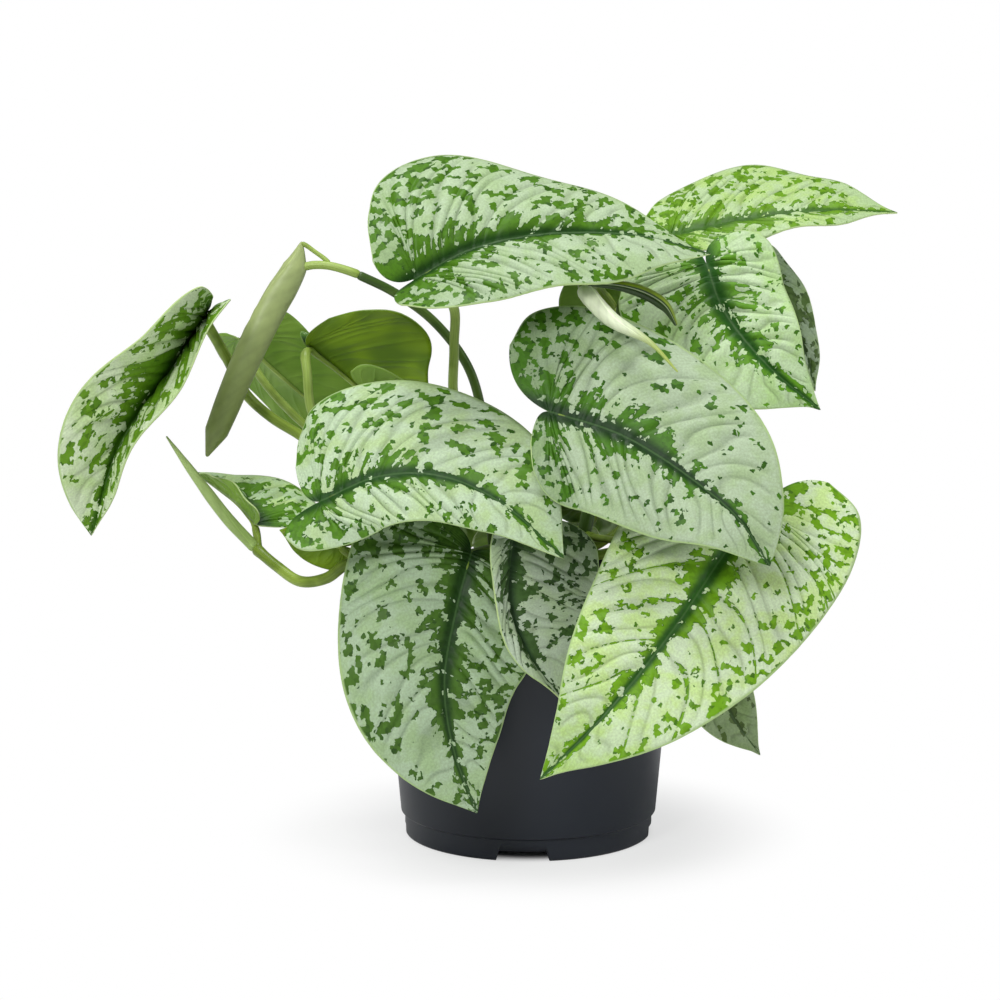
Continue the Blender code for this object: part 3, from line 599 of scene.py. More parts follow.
def grow_leaf(node, leaf, materials, veins, quilt, wave, turn, rows, columns):
    bm = bmesh.new()
    bmesh.ops.create_grid(bm, x_segments=2 * columns, y_segments=rows, size=1)
    verts = list(bm.verts)
    grid = np.array([v.co for v in verts])
    across, share = -grid[:, 0], (grid[:, 1] + 1) / 2
    places, vein, flat, length = leaf_points(leaf, across, share)
    phase = vein_phase(across, share, veins, turn)
    maps = [(bm.loops.layers.uv.new(name), values) for name, values in
            (("veins", vein), ("blade", np.stack([across, phase], axis=-1)), ("flat", flat))]
    for k, vert in enumerate(verts):
        for loop in vert.link_loops:
            for layer, values in maps:
                loop[layer].uv = values[k]
    for vert, place in zip(verts, places):
        vert.co = place * MM
    bm.normal_update()
    heights = MM * relief(across, share, abs(flat[:, 0]) * CM, flat[:, 1] * CM / length,
                          phase, quilt, wave, turn)
    moves = [vert.normal * height for vert, height in zip(verts, heights)]
    for vert, move in zip(verts, moves):
        vert.co += move
    bmesh.ops.remove_doubles(bm, verts=bm.verts, dist=WELD * MM)
    made = add_object(node + "_blade", bm, materials, node)
    thicken = made.modifiers.new("thickness", "SOLIDIFY")
    thicken.thickness = BLADE * MM
    thicken.offset = 0
    thicken.material_offset = 1
    thicken.material_offset_rim = 2


print("a blade is", BLADE, "mm thick")

# %% [markdown]
# ## The leaf's upper side
# The silver comes from air under the skin, and it stops at the borders of small patches of
# cells. So the pattern has hard jagged edges. A smooth noise that is cut at a limit would give
# soft round islands. Here a Voronoi texture makes the patches first. Each patch is then silver
# or green as a whole, because what decides on it is read at the patch's own centre. The chance
# of green is a sum: clouds, blots that are denser in some parts of a leaf, and a zone along the
# midrib whose border is feathered along the veins.

# %% Places on a blade
def vein_distance(paint, phase):
    """How far the next main vein is, from 0 on it to 0.5 between two, and the vein's number."""
    phase = paint.add(phase, 0.5)
    middle = paint.calc("SUBTRACT", paint.calc("FRACT", phase), 0.5)
    return paint.calc("ABSOLUTE", middle), paint.calc("FLOOR", phase)


class LeafPaint(Paint):
    """The paint of one leaf, with the places on its blade that the finish reads."""

    def __init__(self, name, look, length, count):
        super().__init__(name)
        self.look = look
        self.veins, self.flat = self.uv("veins"), self.uv("flat")     # both in centimetres
        across, self.phase = self.split(self.uv("blade"))
        self.out = self.calc("ABSOLUTE", across)                      # 1 at the margin
        self.share = self.calc("DIVIDE", self.phase, count)           # 0 at the lobe, 1 at the tip
        aside, along = self.split(self.flat)
        self.from_rib = self.calc("ABSOLUTE", aside)
        self.to_tip = self.calc("DIVIDE", along, length / CM)
        self.to_vein, self.one_vein = vein_distance(self, self.phase)
        # every leaf reads another part of the textures
        self.moved = self.scaled(self.flat, 1, 1, dx=look.seed * 3.7, dy=look.seed * 5.3)


print("a leaf's paint knows its veins, its midrib and its margin")

# %% Patches of cells
PATCH = 0.12                 # size in centimetres
JAGGED = 0.14                # how far noise pushes the borders about, in centimetres


def patches(paint):
    """The centre of the patch that a place belongs to, and a random number for the patch."""
    wobble = paint.node("TexNoise", {"Vector": paint.moved, "Scale": 6.0, "Detail": 1.0})
    jagged = paint.node("VectorMath", {0: wobble.outputs["Color"], 1: (JAGGED, JAGGED, 0.0),
                                       2: paint.moved}, operation="MULTIPLY_ADD").outputs[0]
    centre = paint.node("TexVoronoi", {"Vector": paint.scaled(jagged, 1 / PATCH, 1 / PATCH),
                                       "Scale": 1.0, "Randomness": 0.9},
                        voronoi_dimensions="2D", distance="CHEBYCHEV").outputs["Position"]
    return paint.scaled(centre, PATCH, PATCH), paint.luck(centre)


print("patches of cells,", PATCH, "cm wide")

# %% Blots, clouds and veins
CLOUDS = 2.8                 # in a centimetre
BLOTS = 2.2                  # in a centimetre
DENSE = (0.70, 1.35)         # luck and density together: no blot below, the largest above
BLOT_SIZE = (-0.1, 0.54)     # from none to the largest, in distances between blots
BLOT_EFFECT = 0.7
LEAST_EFFECT = -0.13         # far from any blot
BLOT_BASE = 0.10


def green_by_blots(paint, patch):
    """Blots, larger and more of them where they are to be dense."""
    look = paint.look
    # look.base makes blots denser towards the lobes: the leaf's own pattern, and on lobes that lie
    # in shade partly painted shade
    dense = paint.add(paint.step(paint.out, 0.45, 0.95, look.spots, look.spots + look.edge),
                      paint.step(paint.share, 0.12, 0.45, look.base, 0.0),
                      paint.step(paint.share, 0.70, 0.93, 0.0, -0.35))
    blots = paint.node("TexVoronoi", {"Vector": paint.scaled(patch, BLOTS, BLOTS), "Scale": 1.0,
                                      "Randomness": 1.0}, voronoi_dimensions="2D")
    own = paint.luck(blots.outputs["Position"])
    size = paint.step(paint.add(own, dense), *DENSE, *BLOT_SIZE)
    blot = paint.times(paint.calc("SUBTRACT", size, blots.outputs["Distance"]), BLOT_EFFECT)
    return paint.add(paint.calc("MAXIMUM", blot, LEAST_EFFECT), BLOT_BASE)


def green_by_veins(paint):
    """Green lines along every other vein."""
    number = paint.node("TexWhiteNoise", {"W": paint.one_vein}, noise_dimensions="1D")
    return paint.times(paint.step(paint.to_vein, 0.04, 0.14, paint.look.lines, 0.0),
                       paint.step(number.outputs["Value"], 0.5, 0.6))


print(CLOUDS, "clouds and", BLOTS, "blots in a centimetre")

# %% The dark zone along the midrib
ZONE_AT_STALK = 0.57         # half its width in centimetres
ZONE_AT_TIP = 0.13
TEETH = (1.1, 3.4)           # of its border, in a centimetre, out from the midrib and along it
SWAY = (0.35, 0.95)          # slower swings of the border
SWAY_SHARE = 0.7
LUCK_SPREAD = 0.18           # how much luck decides on a single patch


def zone_share(paint):
    """0 on the midrib, 1 at the border of the zone and more outside it."""
    rib = paint.look.rib
    width = paint.step(paint.to_tip, 0.1, 0.95, ZONE_AT_STALK * rib, ZONE_AT_TIP * rib)
    return paint.calc("DIVIDE", paint.from_rib, width)


def feather(paint, zone):
    """Teeth on the border of the zone. They fade out on the midrib, far out and at the lobes."""
    seed = paint.look.seed
    teeth = paint.noise(paint.scaled(paint.veins, *TEETH, dx=seed * 1.3), 1.0, 1.5, 0.5)
    sway = paint.noise(paint.scaled(paint.veins, *SWAY, dx=seed * 2.1), 1.0, 0.0)
    teeth = paint.calc("MULTIPLY_ADD", sway, SWAY_SHARE,
                       paint.calc("SUBTRACT", teeth, SWAY_SHARE / 2))
    return paint.times(paint.calc("SUBTRACT", teeth, 0.5), paint.step(zone, 1.6, 3.2, 1.5, 0.15),
                       paint.step(zone, 0.15, 0.9), paint.step(paint.share, 0.16, 0.36, 0.15, 1.0))


def green_chance(paint, patch, luck, zone):
    """The chance of green, which is the sum of all that speaks for it or against it."""
    by_zone = paint.node("MapRange", {0: zone, 1: 0.0, 2: 2.5, 3: 0.38, 4: -0.04}).outputs[0]
    fewer_at_tip = paint.step(paint.share, 0.74, 0.93, 0.0, -0.08)
    return paint.add(paint.noise(patch, CLOUDS, 1.0, 0.5), green_by_blots(paint, patch),
                     paint.calc("MULTIPLY_ADD", luck, LUCK_SPREAD, -LUCK_SPREAD / 2), by_zone,
                     feather(paint, zone), fewer_at_tip, green_by_veins(paint))


print("the dark zone is", 2 * ZONE_AT_STALK, "cm wide at the stalk")

# %% Silver skin and green flesh
def silver_skin(paint, grain):
    """Faintly clouded silver, greener at the tip; greener and darker at the lobes, partly its own
    colour and partly painted shade; darker over the veins as painted shade in the grooves.
    """
    look = paint.look
    haze = paint.noise(paint.moved, 1.1, 3.0, 0.55)
    silver = paint.mix(paint.step(haze, 0.40, 0.64), look.silver, look.tint)
    greener = paint.times(paint.step(paint.to_tip, 0.55, 1.0), look.tip)
    silver = paint.mix(greener, silver, look.bright)
    # greener and darker silver towards the lobes, by look.dull: partly the leaf's own colour and
    # partly painted shade where leaves above shade the lobes
    silver = paint.mix(paint.step(paint.share, 0.05, 0.45, look.dull, 0.0), silver, look.bright)
    silver = paint.shade(silver, paint.step(grain, 0.3, 0.7, 0.88, 1.08))
    streaks = paint.noise(paint.scaled(paint.veins, 1.8, 11.0), 1.0, 2.0, 0.5)
    silver = paint.shade(silver, paint.step(streaks, 0.3, 0.7, 0.95, 1.04))
    # painted shade: the silver is darkened in the grooves over the main veins, where the quilted
    # blade dips
    painted_groove_shade = paint.times(paint.step(paint.out, 0.05, 0.2),
                            paint.step(paint.out, 0.75, 0.98, 1.0, 0.0),
                            paint.step(paint.share, 0.12, 0.4, 0.25, 1.0),
                            paint.step(paint.to_vein, 0.0, 0.20, 0.24, 0.0))
    return paint.shade(silver, paint.calc("SUBTRACT", 1.0, painted_groove_shade))


def green_flesh(paint, above, zone, luck):
    """Deep green beside the midrib and at the border of a spot, brighter inside it."""
    inside = paint.step(above, 0.0, 0.10, 0.25, 1.0)
    beside = paint.step(zone, 0.28, 1.20)
    flesh = paint.mix(paint.times(inside, beside), paint.look.deep, paint.look.bright)
    return paint.shade(flesh, paint.step(luck, 0.0, 1.0, 0.88, 1.12))


print("silver skin and green flesh, one for each leaf")

# %% The whole finish of the upper side
GREEN_LIMIT = 0.61           # with more chance than this a patch is green
GREEN_SOFT = 0.006           # how much more it takes to be fully green
GRAIN = 14.0                 # grains of the skin in a centimetre
RELIEF = 0.00022             # of grain and small veins, in metres
RIB_LINE = srgb(78, 112, 62)
RIM_LINE = srgb(176, 204, 138)


def variegated_leaf(name, look, length, count):
    """The finish of one leaf that is length mm long and has so many main veins."""
    paint = LeafPaint(name, look, length, count)
    patch, luck = patches(paint)
    zone = zone_share(paint)
    chance = green_chance(paint, patch, luck, zone)
    green = paint.step(chance, GREEN_LIMIT, GREEN_LIMIT + GREEN_SOFT)
    grain = paint.noise(paint.moved, GRAIN, 2.0, 0.6)
    above = paint.calc("SUBTRACT", chance, GREEN_LIMIT)
    colour = paint.mix(green, silver_skin(paint, grain), green_flesh(paint, above, zone, luck))
    colour = paint.mix(paint.step(paint.from_rib, 0.015, 0.05, 0.45, 0.0), colour, RIB_LINE)
    colour = paint.mix(paint.step(paint.out, 0.972, 0.995), colour, RIM_LINE)
    small_veins = paint.calc("PINGPONG", paint.times(paint.phase, 2.0), 0.5)
    normal = paint.bump(paint.add(paint.times(grain, 0.5), small_veins), RELIEF, 0.5)
    roughness = paint.step(green, 0.0, 1.0, 0.50, 0.46)
    return paint.finish(colour, roughness, Specular_IOR_Level=0.2, Normal=normal)


print("patches are green above a chance of", GREEN_LIMIT)

# %% [markdown]
# ## Undersides and margins
# Seen from below, a leaf is plain green with lighter veins, and its cut edge is a thin pale
# line. Two more materials do for that: Solidify gives the second one to the lower face and
# the third one to the rim, so the blade needs no second mesh.

# %% Leaf undersides and margins
def plain_underside(name, colour, light):
    """The plain green back of a leaf, with its veins a little lighter."""
    paint = Paint(name)
    veins = paint.uv("veins")
    aside, _ = paint.split(veins)
    _, phase = paint.split(paint.uv("blade"))
    to_vein, _ = vein_distance(paint, phase)
    clouds = paint.noise(paint.uv("flat"), 0.6, 1.0)
    streaks = paint.noise(paint.scaled(veins, 1.0, 9.0), 1.0, 2.0)
    green = paint.mix(paint.step(clouds, 0.35, 0.65), colour, light)
    green = paint.shade(green, paint.step(streaks, 0.3, 0.7, 0.97, 1.03))
    green = paint.shade(green, paint.step(to_vein, 0.0, 0.14, 1.06, 1.0))
    rib = paint.step(paint.calc("ABSOLUTE", aside), 0.03, 0.10, 0.4, 0.0)
    green = paint.mix(rib, green, srgb(76, 102, 40))
    normal = paint.bump(paint.step(to_vein, 0.0, 0.2, 1.0, 0.0), 0.0002, 0.5)
    return paint.finish(green, 0.42, Specular_IOR_Level=0.25, Normal=normal)


def leaf_margin(name, colour):
    return Paint(name).finish(colour, 0.5, Specular_IOR_Level=0.3)


margin = leaf_margin("leaf_margin", srgb(184, 206, 140))
green_margin = leaf_margin("leaf_margin_green", srgb(122, 150, 70))
underside = plain_underside("leaf_underside", srgb(110, 146, 54), srgb(128, 162, 66))
olive_underside = plain_underside("leaf_underside_olive", srgb(92, 124, 24), srgb(124, 156, 28))

print("4 materials for lower faces and rims")

# %% Looks of the leaves
# Colours are given from 0 to 255. silver, tint: the silver and its clouds. deep, bright: the
# green at the border of a spot and inside it. rib: how wide the dark zone is. spots, edge,
# base: how dense the blots are, and how much denser at the margin and at the lobes. dull, tip:
# how green the silver is at the lobes and at the tip. Where lobes lie in the shade of other
# leaves, base and dull are set higher: partly the leaf's own colour and partly painted shade.
# lines: how much green runs along the veins.
Look = namedtuple("Look", "silver tint deep bright rib spots edge base dull tip lines seed",
                  defaults=(1.0, 0.0, 0.05, 0.03, 0.1, 0.0, 0.0, 0))
SILVER = (178, 204, 160)
YELLOWISH = (182, 210, 140)
DEEP = (34, 70, 22)
BRIGHT = (80, 126, 28)
LOOKS = {
    "leaf_top": Look((174, 194, 158), (164, 188, 140), (28, 66, 12), (72, 116, 18), rib=0.8,
        spots=0.55, edge=0.15, base=0.35, dull=0.2, seed=1),
    "leaf_top_right": Look((178, 202, 152), (172, 202, 120), (56, 98, 14), (98, 144, 20), rib=0.95,
        spots=0.5, edge=0.15, base=0.25, dull=0.0, tip=0.2, seed=2),
    "leaf_right": Look((190, 212, 170), (178, 208, 144), (34, 80, 18), (88, 140, 26), rib=1.0,
        spots=0.15, edge=0.2, tip=0.3, seed=3),
    "leaf_right_behind": Look((158, 178, 146), (146, 172, 116), (52, 72, 38), (81, 108, 49),
        rib=0.5, spots=0.6, seed=4),
    # its lobe lies in the shade of the top leaf: base and dull are high here partly as painted
    # shade
    "leaf_centre_right": Look((170, 188, 156), (160, 182, 138), (24, 54, 16), (66, 112, 22),
        rib=0.95, spots=0.15, edge=0.1, base=0.7, dull=0.32, seed=5),
    "leaf_centre_left": Look((186, 206, 172), (176, 200, 146), (30, 68, 16), (78, 124, 26),
        rib=0.75, spots=0.35, edge=0.2, base=0.3, tip=0.15, seed=6),
    "leaf_left_small": Look(SILVER, YELLOWISH, DEEP, (84, 130, 30), rib=1.3, spots=0.3, seed=7),
    "leaf_left_drooping": Look((206, 222, 184), (190, 214, 154), (54, 96, 14), (96, 140, 28),
        rib=1.9, spots=0.4, edge=0.2, seed=8),
    # its lobes lie in the shade of the leaf above: base and dull are high here partly as painted
    # shade
    "leaf_front_left": Look((170, 192, 158), (160, 186, 138), (32, 62, 20), (70, 106, 34), rib=0.9,
        spots=0.4, edge=0.3, base=0.8, dull=0.42, lines=0.06, seed=9),
    "leaf_front_middle": Look((190, 206, 180), (180, 200, 160), (38, 64, 32), (68, 98, 48),
        rib=0.6, spots=0.55, edge=0.15, base=0.3, dull=0.3, lines=0.06, seed=10),
    "leaf_front_right": Look((200, 218, 180), (190, 216, 142), (38, 82, 20), (104, 152, 22),
        rib=0.8, spots=0.15, edge=0.5, base=0.2, dull=0.0, tip=0.35, lines=0.22, seed=11),
    "leaf_right_low": Look((140, 160, 118), (130, 154, 100), (55, 72, 34), (81, 104, 47), rib=0.5,
        spots=0.5, seed=12),
}
PLAIN_LOOK = Look(SILVER, YELLOWISH, DEEP, BRIGHT, rib=0.9, spots=0.25, edge=0.2)
OLIVE_BACKS = ("leaf_back_middle", "leaf_left_low")
CALM = OLIVE_BACKS + ("leaf_back_left", "leaf_back_centre", "leaf_inner")   # hardly quilted


def in_shader_values(look):
    return Look(*(srgb(*colour) for colour in look[:4]), *look[4:])


print(len(LOOKS), "leaves with a look of their own")

# %% All leaves
BIG_LEAF = 130               # length and width together
QUILT = (0.6, 0.7)           # height of the bulges: at least, and a big leaf's addition
CALM_QUILT = 0.3             # share of that for the calm ones
WAVE = 1.4                   # height of the waves along the margin of a big leaf
ROWS_PER_VEIN = 9
COLUMNS = (12, 10)           # on each half: at least, and a big leaf's addition

for number, (node, leaf) in enumerate(LEAVES.items()):
    look = in_shader_values(LOOKS.get(node, PLAIN_LOOK._replace(seed=20 + number)))
    length = midrib_length(leaf)
    size = min(1, (length + sum(leaf.half)) / BIG_LEAF)
    count = round((length + max(leaf.half)) / VEIN_SPACING)
    surfaces = [variegated_leaf(node + "_green", look, length, float(count)),
                olive_underside if node in OLIVE_BACKS else underside,
                green_margin if node in CALM else margin]
    quilt = (QUILT[0] + QUILT[1] * size) * (CALM_QUILT if node in CALM else 1)
    grow_leaf(node, leaf, surfaces, count, quilt, wave=WAVE * size, turn=CHANCE.random(),
              rows=ROWS_PER_VEIN * count, columns=int(COLUMNS[0] + COLUMNS[1] * size))
    print(node, count, "veins")
print(len(LEAVES), "blades")

# %% [markdown]
# ## Stems and leaf stalks
# A stalk leaves its stem, thickens a little at both ends, bends under the leaf and runs on as
# the rib under the blade, thinner and thinner up to the tip. On the plant that is one piece
# with no seam, so here it is one tube too. A curve with a round bevel would do for a plain
# one. Here the tube is a flat grid that is wrapped round the path, because that can also be
# lobed or hollow in section, and its map runs straight along it. Its last rows close to a
# point at both ends.

# %% Along a tube
END_ROWS = 5                 # rows that round off each end


def across_path(points):
    """Two directions across a path, at each of its points, that don't twist."""
    ahead = unit(np.gradient(points, axis=0))
    side = unit(np.cross(ahead[0], (0.1, -1, 0.3)))
    sides = []
    for direction in ahead:
        side = unit(side - direction * (direction @ side))
        sides.append(side)
    return np.array(sides), np.cross(np.array(sides), ahead)


def stations(length, start_radius, end_radius, spacing):
    """Even steps along a tube, with closer ones where its two ends are rounded off."""
    turns = 1 - np.cos(np.linspace(0, math.pi / 2, END_ROWS))
    middle = np.linspace(start_radius, length - end_radius, max(6, int(length / spacing)))
    return np.concatenate([turns[:-1] * start_radius, middle, length - turns[-2::-1] * end_radius])


print("a tube of 100 mm has", len(stations(100, 2, 2, 1.5)), "rows")

# %% Tubes
ROUTE_STEPS = 400
SEAM = 0.004                 # rows of the tube's seam and ends that lie this close become one


def grow_tube(name, route, radii, skin, node, sides=14, spacing=1.5, shape=None, swell=()):
    """A closed tube along the route. radii are spread evenly along it. shape gives another
    share of the radius for places round it and along it. swell: (share, factor, width mm)."""
    fine = smooth_curve(route, ROUTE_STEPS)
    fine_lengths = path_lengths(fine)
    length = fine_lengths[-1]
    steps = stations(length, radii[0], radii[-1], spacing)
    points = at(steps, fine_lengths, fine)
    right, up = across_path(points)
    radius = np.interp(steps / length, np.linspace(0, 1, len(radii)), radii)
    for share, factor, width in swell:
        radius = radius * (1 + (factor - 1) * np.exp(-((steps - share * length) / width) ** 2))
    for end, distance in ((radii[0], steps), (radii[-1], length - steps)):
        radius = radius * np.sqrt(1 - np.clip(1 - distance / end, 0, 1) ** 2)
    bm = bmesh.new()
    bmesh.ops.create_grid(bm, x_segments=sides, y_segments=len(steps) - 1, size=1)
    verts = list(bm.verts)
    grid = np.array([v.co for v in verts])
    row = np.rint((grid[:, 1] + 1) / 2 * (len(steps) - 1)).astype(int)
    turn = grid[:, 0] * math.pi
    out = radius[row]
    if shape:
        out = out * shape(grid[:, 0], steps[row] / length)
    layer = bm.loops.layers.uv.new("round")
    for vert, r in zip(verts, row):
        for loop in vert.link_loops:
            loop[layer].uv = ((vert.co.x + 1) / 2, steps[r] / CM)
    places = (points[row] + right[row] * (np.cos(turn) * out)[:, None]
              + up[row] * (np.sin(turn) * out)[:, None])
    for vert, place in zip(verts, places):
        vert.co = place * MM
    bmesh.ops.remove_doubles(bm, verts=bm.verts, dist=SEAM * MM)
    bmesh.ops.recalc_face_normals(bm, faces=bm.faces)
    return add_object(name, bm, [skin], node)


print("tubes follow their route in", ROUTE_STEPS, "steps")

# %% Skin of stems
def stem_skin(name, colour, light):
    """Smooth satin skin with fine lengthwise streaks."""
    paint = Paint(name)
    streaks = paint.noise(paint.scaled(paint.uv("round"), 26.0, 0.7), 1.0, 3.0)
    clouds = paint.noise(paint.place(), 90.0, 2.0)
    base = paint.mix(paint.step(clouds, 0.4, 0.6), colour, light)
    base = paint.shade(base, paint.step(streaks, 0.3, 0.7, 0.85, 1.12))
    normal = paint.bump(streaks, 0.0002, 0.5)
    return paint.finish(base, 0.34, Specular_IOR_Level=0.3, Normal=normal)


stem_green = stem_skin("stem_green", srgb(106, 130, 42), srgb(136, 160, 64))
stem_dark = stem_skin("stem_dark", srgb(58, 84, 30), srgb(76, 102, 38))
stem_pale = stem_skin("stem_pale", srgb(132, 156, 66), srgb(156, 180, 88))
print("3 skins for stems and stalks")

# %% [markdown]
# ## Stems in the potting mix
# The foot of each stem stands in the mix, so the height of the mix is needed first. It is a
# formula, not a sculpted lump, because stems, mix and crumbs can then all ask for the height
# at a place.

# %% Height of the potting mix
MIX_EDGE_Z = 79.0            # where it meets the wall
MIX_MOUND = 9.0
MIX_MOUND_RADIUS = 50
MIX_CLUMP = (-42.0, 2.0)     # a clump rises above the rim at the left
MIX_CLUMP_HEIGHT = 22.0
MIX_CLUMP_SPREAD = 9.0


def mix_height(x, y):
    mound = MIX_MOUND * max(0, 1 - (math.hypot(x, y) / MIX_MOUND_RADIUS) ** 2)
    clump = MIX_CLUMP_HEIGHT * math.exp(-((x - MIX_CLUMP[0]) ** 2 + (y - MIX_CLUMP[1]) ** 2)
                                        / (2 * MIX_CLUMP_SPREAD ** 2))
    return MIX_EDGE_Z + mound + clump + 0.8 * math.sin(0.31 * x + 1) * math.sin(0.37 * y)


print("the mix is", round(mix_height(0, 0), 1), "mm high in the middle")

# %% Stems
STEM_DEPTH = 12              # how far a stem reaches down into the mix
KNOT = (1.14, 2.5)           # a stem is this much thicker where a stalk leaves, over so many mm


def stem_route(stem):
    x, y = stem.route[0]
    ground = mix_height(x, y)
    return [(x, y, ground - STEM_DEPTH), (x, y, ground)] + stem.route[1:]


STEM_SKINS = {"stem_back": stem_dark, "stem_right": stem_dark}
for node, stem in STEMS.items():
    knots = [(stalk.share, *KNOT) for stalk in STALKS.values() if stalk.stem == node]
    grow_tube(node + "_vine", stem_route(stem), (stem.radius, stem.radius, stem.radius * 0.95),
              STEM_SKINS.get(node, stem_green), node, sides=18, swell=knots)
print(len(STEMS), "stems")

# %% Routes of stalks and ribs
STEM_STEPS = 120
NECK = 3.2                   # the last bend comes this many radii before the blade
RIB_END = 0.96               # share of the midrib at which the rib under the blade ends
RIB_TIP = 0.22               # its radius there
RIB_GAP = 0.12               # between the rib's top and the middle of the blade


def rib_radius(stalk, share):
    return RIB_TIP + (0.62 * stalk.radius - RIB_TIP) * (1 - share) ** 1.3


def stalk_route(stalk, leaf):
    """From inside the stem, along the stalk and on under the blade almost to its tip."""
    curve = smooth_curve(stem_route(STEMS[stalk.stem]), STEM_STEPS + 1)
    k = round(stalk.share * STEM_STEPS)
    along = unit(curve[min(k + 1, STEM_STEPS)] - curve[k - 1])
    rib, lengths, _, up, _ = midrib_frame(leaf)
    arrive = unit(np.array(stalk.arrive, float)) if stalk.arrive else -up[0]
    before_end = rib[0] + arrive * NECK * stalk.radius
    away = np.array(stalk.via[0] if stalk.via else before_end, float) - curve[k]
    away = unit(away - along * (away @ along))
    leaving = [curve[k] + away * (STEMS[stalk.stem].radius + 2)] if stalk.via else []
    route = [curve[k] + away * 0.3, *leaving, *stalk.via, before_end]
    for share in (0.03, 0.1, 0.25, 0.4, 0.55, 0.7, 0.85, RIB_END):
        below = groove_at(share) + rib_radius(stalk, share) + RIB_GAP
        route.append(at(np.array([share * lengths[-1]]), lengths, rib - up * below)[0])
    return [tuple(point) for point in route]


route = stalk_route(STALKS["stalk_top"], LEAVES["leaf_top"])
print("the top leaf's stalk and rib are", round(path_lengths(np.array(route))[-1]), "mm long")

# %% Stalks with their ribs
RADIUS_STEPS = 60


def grow_stalk(node, stalk, skin):
    leaf = LEAVES[node.replace("stalk", "leaf")]
    route = stalk_route(stalk, leaf)
    length = path_lengths(smooth_curve(route, ROUTE_STEPS))[-1]
    rib_length = midrib_length(leaf) * RIB_END
    stalk_length = length - rib_length
    spread = np.linspace(0, length, RADIUS_STEPS)
    on_rib = np.clip((spread - stalk_length) / rib_length, 0, 1)
    near_stem = np.exp(-spread / 5)
    near_leaf = np.exp(-((spread - stalk_length + 2) / 4) ** 2)
    radii = np.where(on_rib > 0.02, [rib_radius(stalk, s) for s in on_rib], stalk.radius)
    radii = np.convolve(np.pad(radii, 2, mode="edge"), np.ones(5) / 5, mode="valid")
    radii = radii * (1 + 0.25 * near_stem) + 0.12 * stalk.radius * near_leaf
    grow_tube(node + "_stalk", route, tuple(radii), skin, node, spacing=1.6)


PALE_STALKS = ("stalk_back_left", "stalk_back_middle", "stalk_top_right", "stalk_right",
               "stalk_top")
STALK_SKINS = {"stalk_centre_left": stem_dark, **dict.fromkeys(PALE_STALKS, stem_pale)}
for node, stalk in STALKS.items():
    grow_stalk(node, stalk, STALK_SKINS.get(node, stem_green))
print(len(STALKS), "stalks, each with the rib of its leaf")

# %% [markdown]
# ## Young leaves
# A new leaf is a roll that slips out of the sheath of the one before it. The edge of the roll
# shows as a step that winds slowly along it, and the veins run across it at a slant. Rolling
# up a real sheet would leave many hidden turns. So this is the same tube as before with
# another cross-section, a spiral: its radius grows on the way round and drops back at the edge.

# %% Cross-sections
STEP_WIDTH = 0.03            # of the step at the edge of the roll, as a share of a turn


def rolled(drop, twist, flat, offset):
    """The cross-section of a roll, as a share of its radius, from -1 round to 1."""
    def shape(around, along):
        place = (around + 1) / 2 + offset + twist * along
        spiral = place - np.floor(place)
        step = np.clip(spiral / STEP_WIDTH, 0, 1)
        oval = 1 - flat * np.sin(around * math.pi) ** 2
        return (1 - drop + drop * (1 - spiral) * step + drop * 0.2 * step) * oval
    return shape


def gutter(around, along):
    """The cross-section of a sheath: hollow on its lower front side, the same all along."""
    return 1 - 0.5 * np.exp(-((around - 0.22) / 0.2) ** 2)


print("a sheath is thinnest at", gutter(0.22, 0), "of its radius")

# %% Skins of young parts
def young_skin(name, start, end, reach, veins, edge):
    """Smooth skin with slanting veins. Its colour goes from start to end over the reach, in
    centimetres. veins: how many in a centimetre and once round. edge: where the edge of the
    roll lies, and its twist."""
    paint = Paint(name)
    around = paint.uv("round")
    u, v = paint.split(around)
    cross = paint.calc("MULTIPLY_ADD", v, veins[0], paint.times(u, float(veins[1])))
    line = paint.calc("ABSOLUTE", paint.calc("SUBTRACT", paint.calc("FRACT", cross), 0.5))
    fibres = paint.noise(paint.scaled(around, 9.0, 2.5), 1.0, 3.0)
    base = paint.mix(paint.step(v, *reach), start, end)
    base = paint.shade(base, paint.step(fibres, 0.35, 0.65, 0.96, 1.04))
    base = paint.shade(base, paint.step(line, 0.0, 0.3, 0.95, 1.02))
    past_edge = paint.calc("FRACT", paint.add(u, paint.add(paint.times(v, edge[1]), edge[0])))
    base = paint.shade(base, paint.step(past_edge, 0.02, 0.035, 1.25, 1.0))
    normal = paint.bump(paint.step(line, 0.0, 0.35), 0.00012, 0.3)
    return paint.finish(base, 0.42, Specular_IOR_Level=0.4, Normal=normal)


def sheath_skin(name, outer, inner):
    """A gutter-shaped sheath: its outer face above, and below it the inner face, darker as painted
    shade, with a painted highlight line along it.
    """
    paint = Paint(name)
    around = paint.uv("round")
    u, _ = paint.split(around)
    # the lower, inner face takes the inner colour, darker as painted shade
    base = paint.mix(paint.step(u, 0.76, 0.79), inner, outer)
    # a painted highlight: a pale line along the inner face
    line = paint.times(paint.step(u, 0.70, 0.715), paint.step(u, 0.725, 0.74, 1.0, 0.0), 0.6)
    base = paint.mix(line, base, srgb(190, 208, 160))
    fibres = paint.noise(paint.scaled(around, 9.0, 1.5), 1.0, 2.0)
    base = paint.shade(base, paint.step(fibres, 0.35, 0.65, 0.9, 1.1))
    return paint.finish(base, 0.35, Specular_IOR_Level=0.5)


young_olive = young_skin("young_leaf_olive", srgb(158, 172, 112), srgb(126, 142, 78), (1.0, 8.0),
                         (1.3, 5), (0.35, 0.04))
young_cream = young_skin("young_leaf_cream", srgb(212, 222, 188), srgb(160, 178, 86), (2.0, 4.0),
                         (2.4, 4), (0.1, 0.09))
young_green = young_skin("young_leaf_green", srgb(140, 166, 90), srgb(160, 184, 112), (0.0, 5.0),
                         (1.0, 2), (0.2, 0.06))
sheath_olive = sheath_skin("sheath_olive", srgb(122, 146, 30), srgb(40, 66, 16))
print("4 skins for young parts")

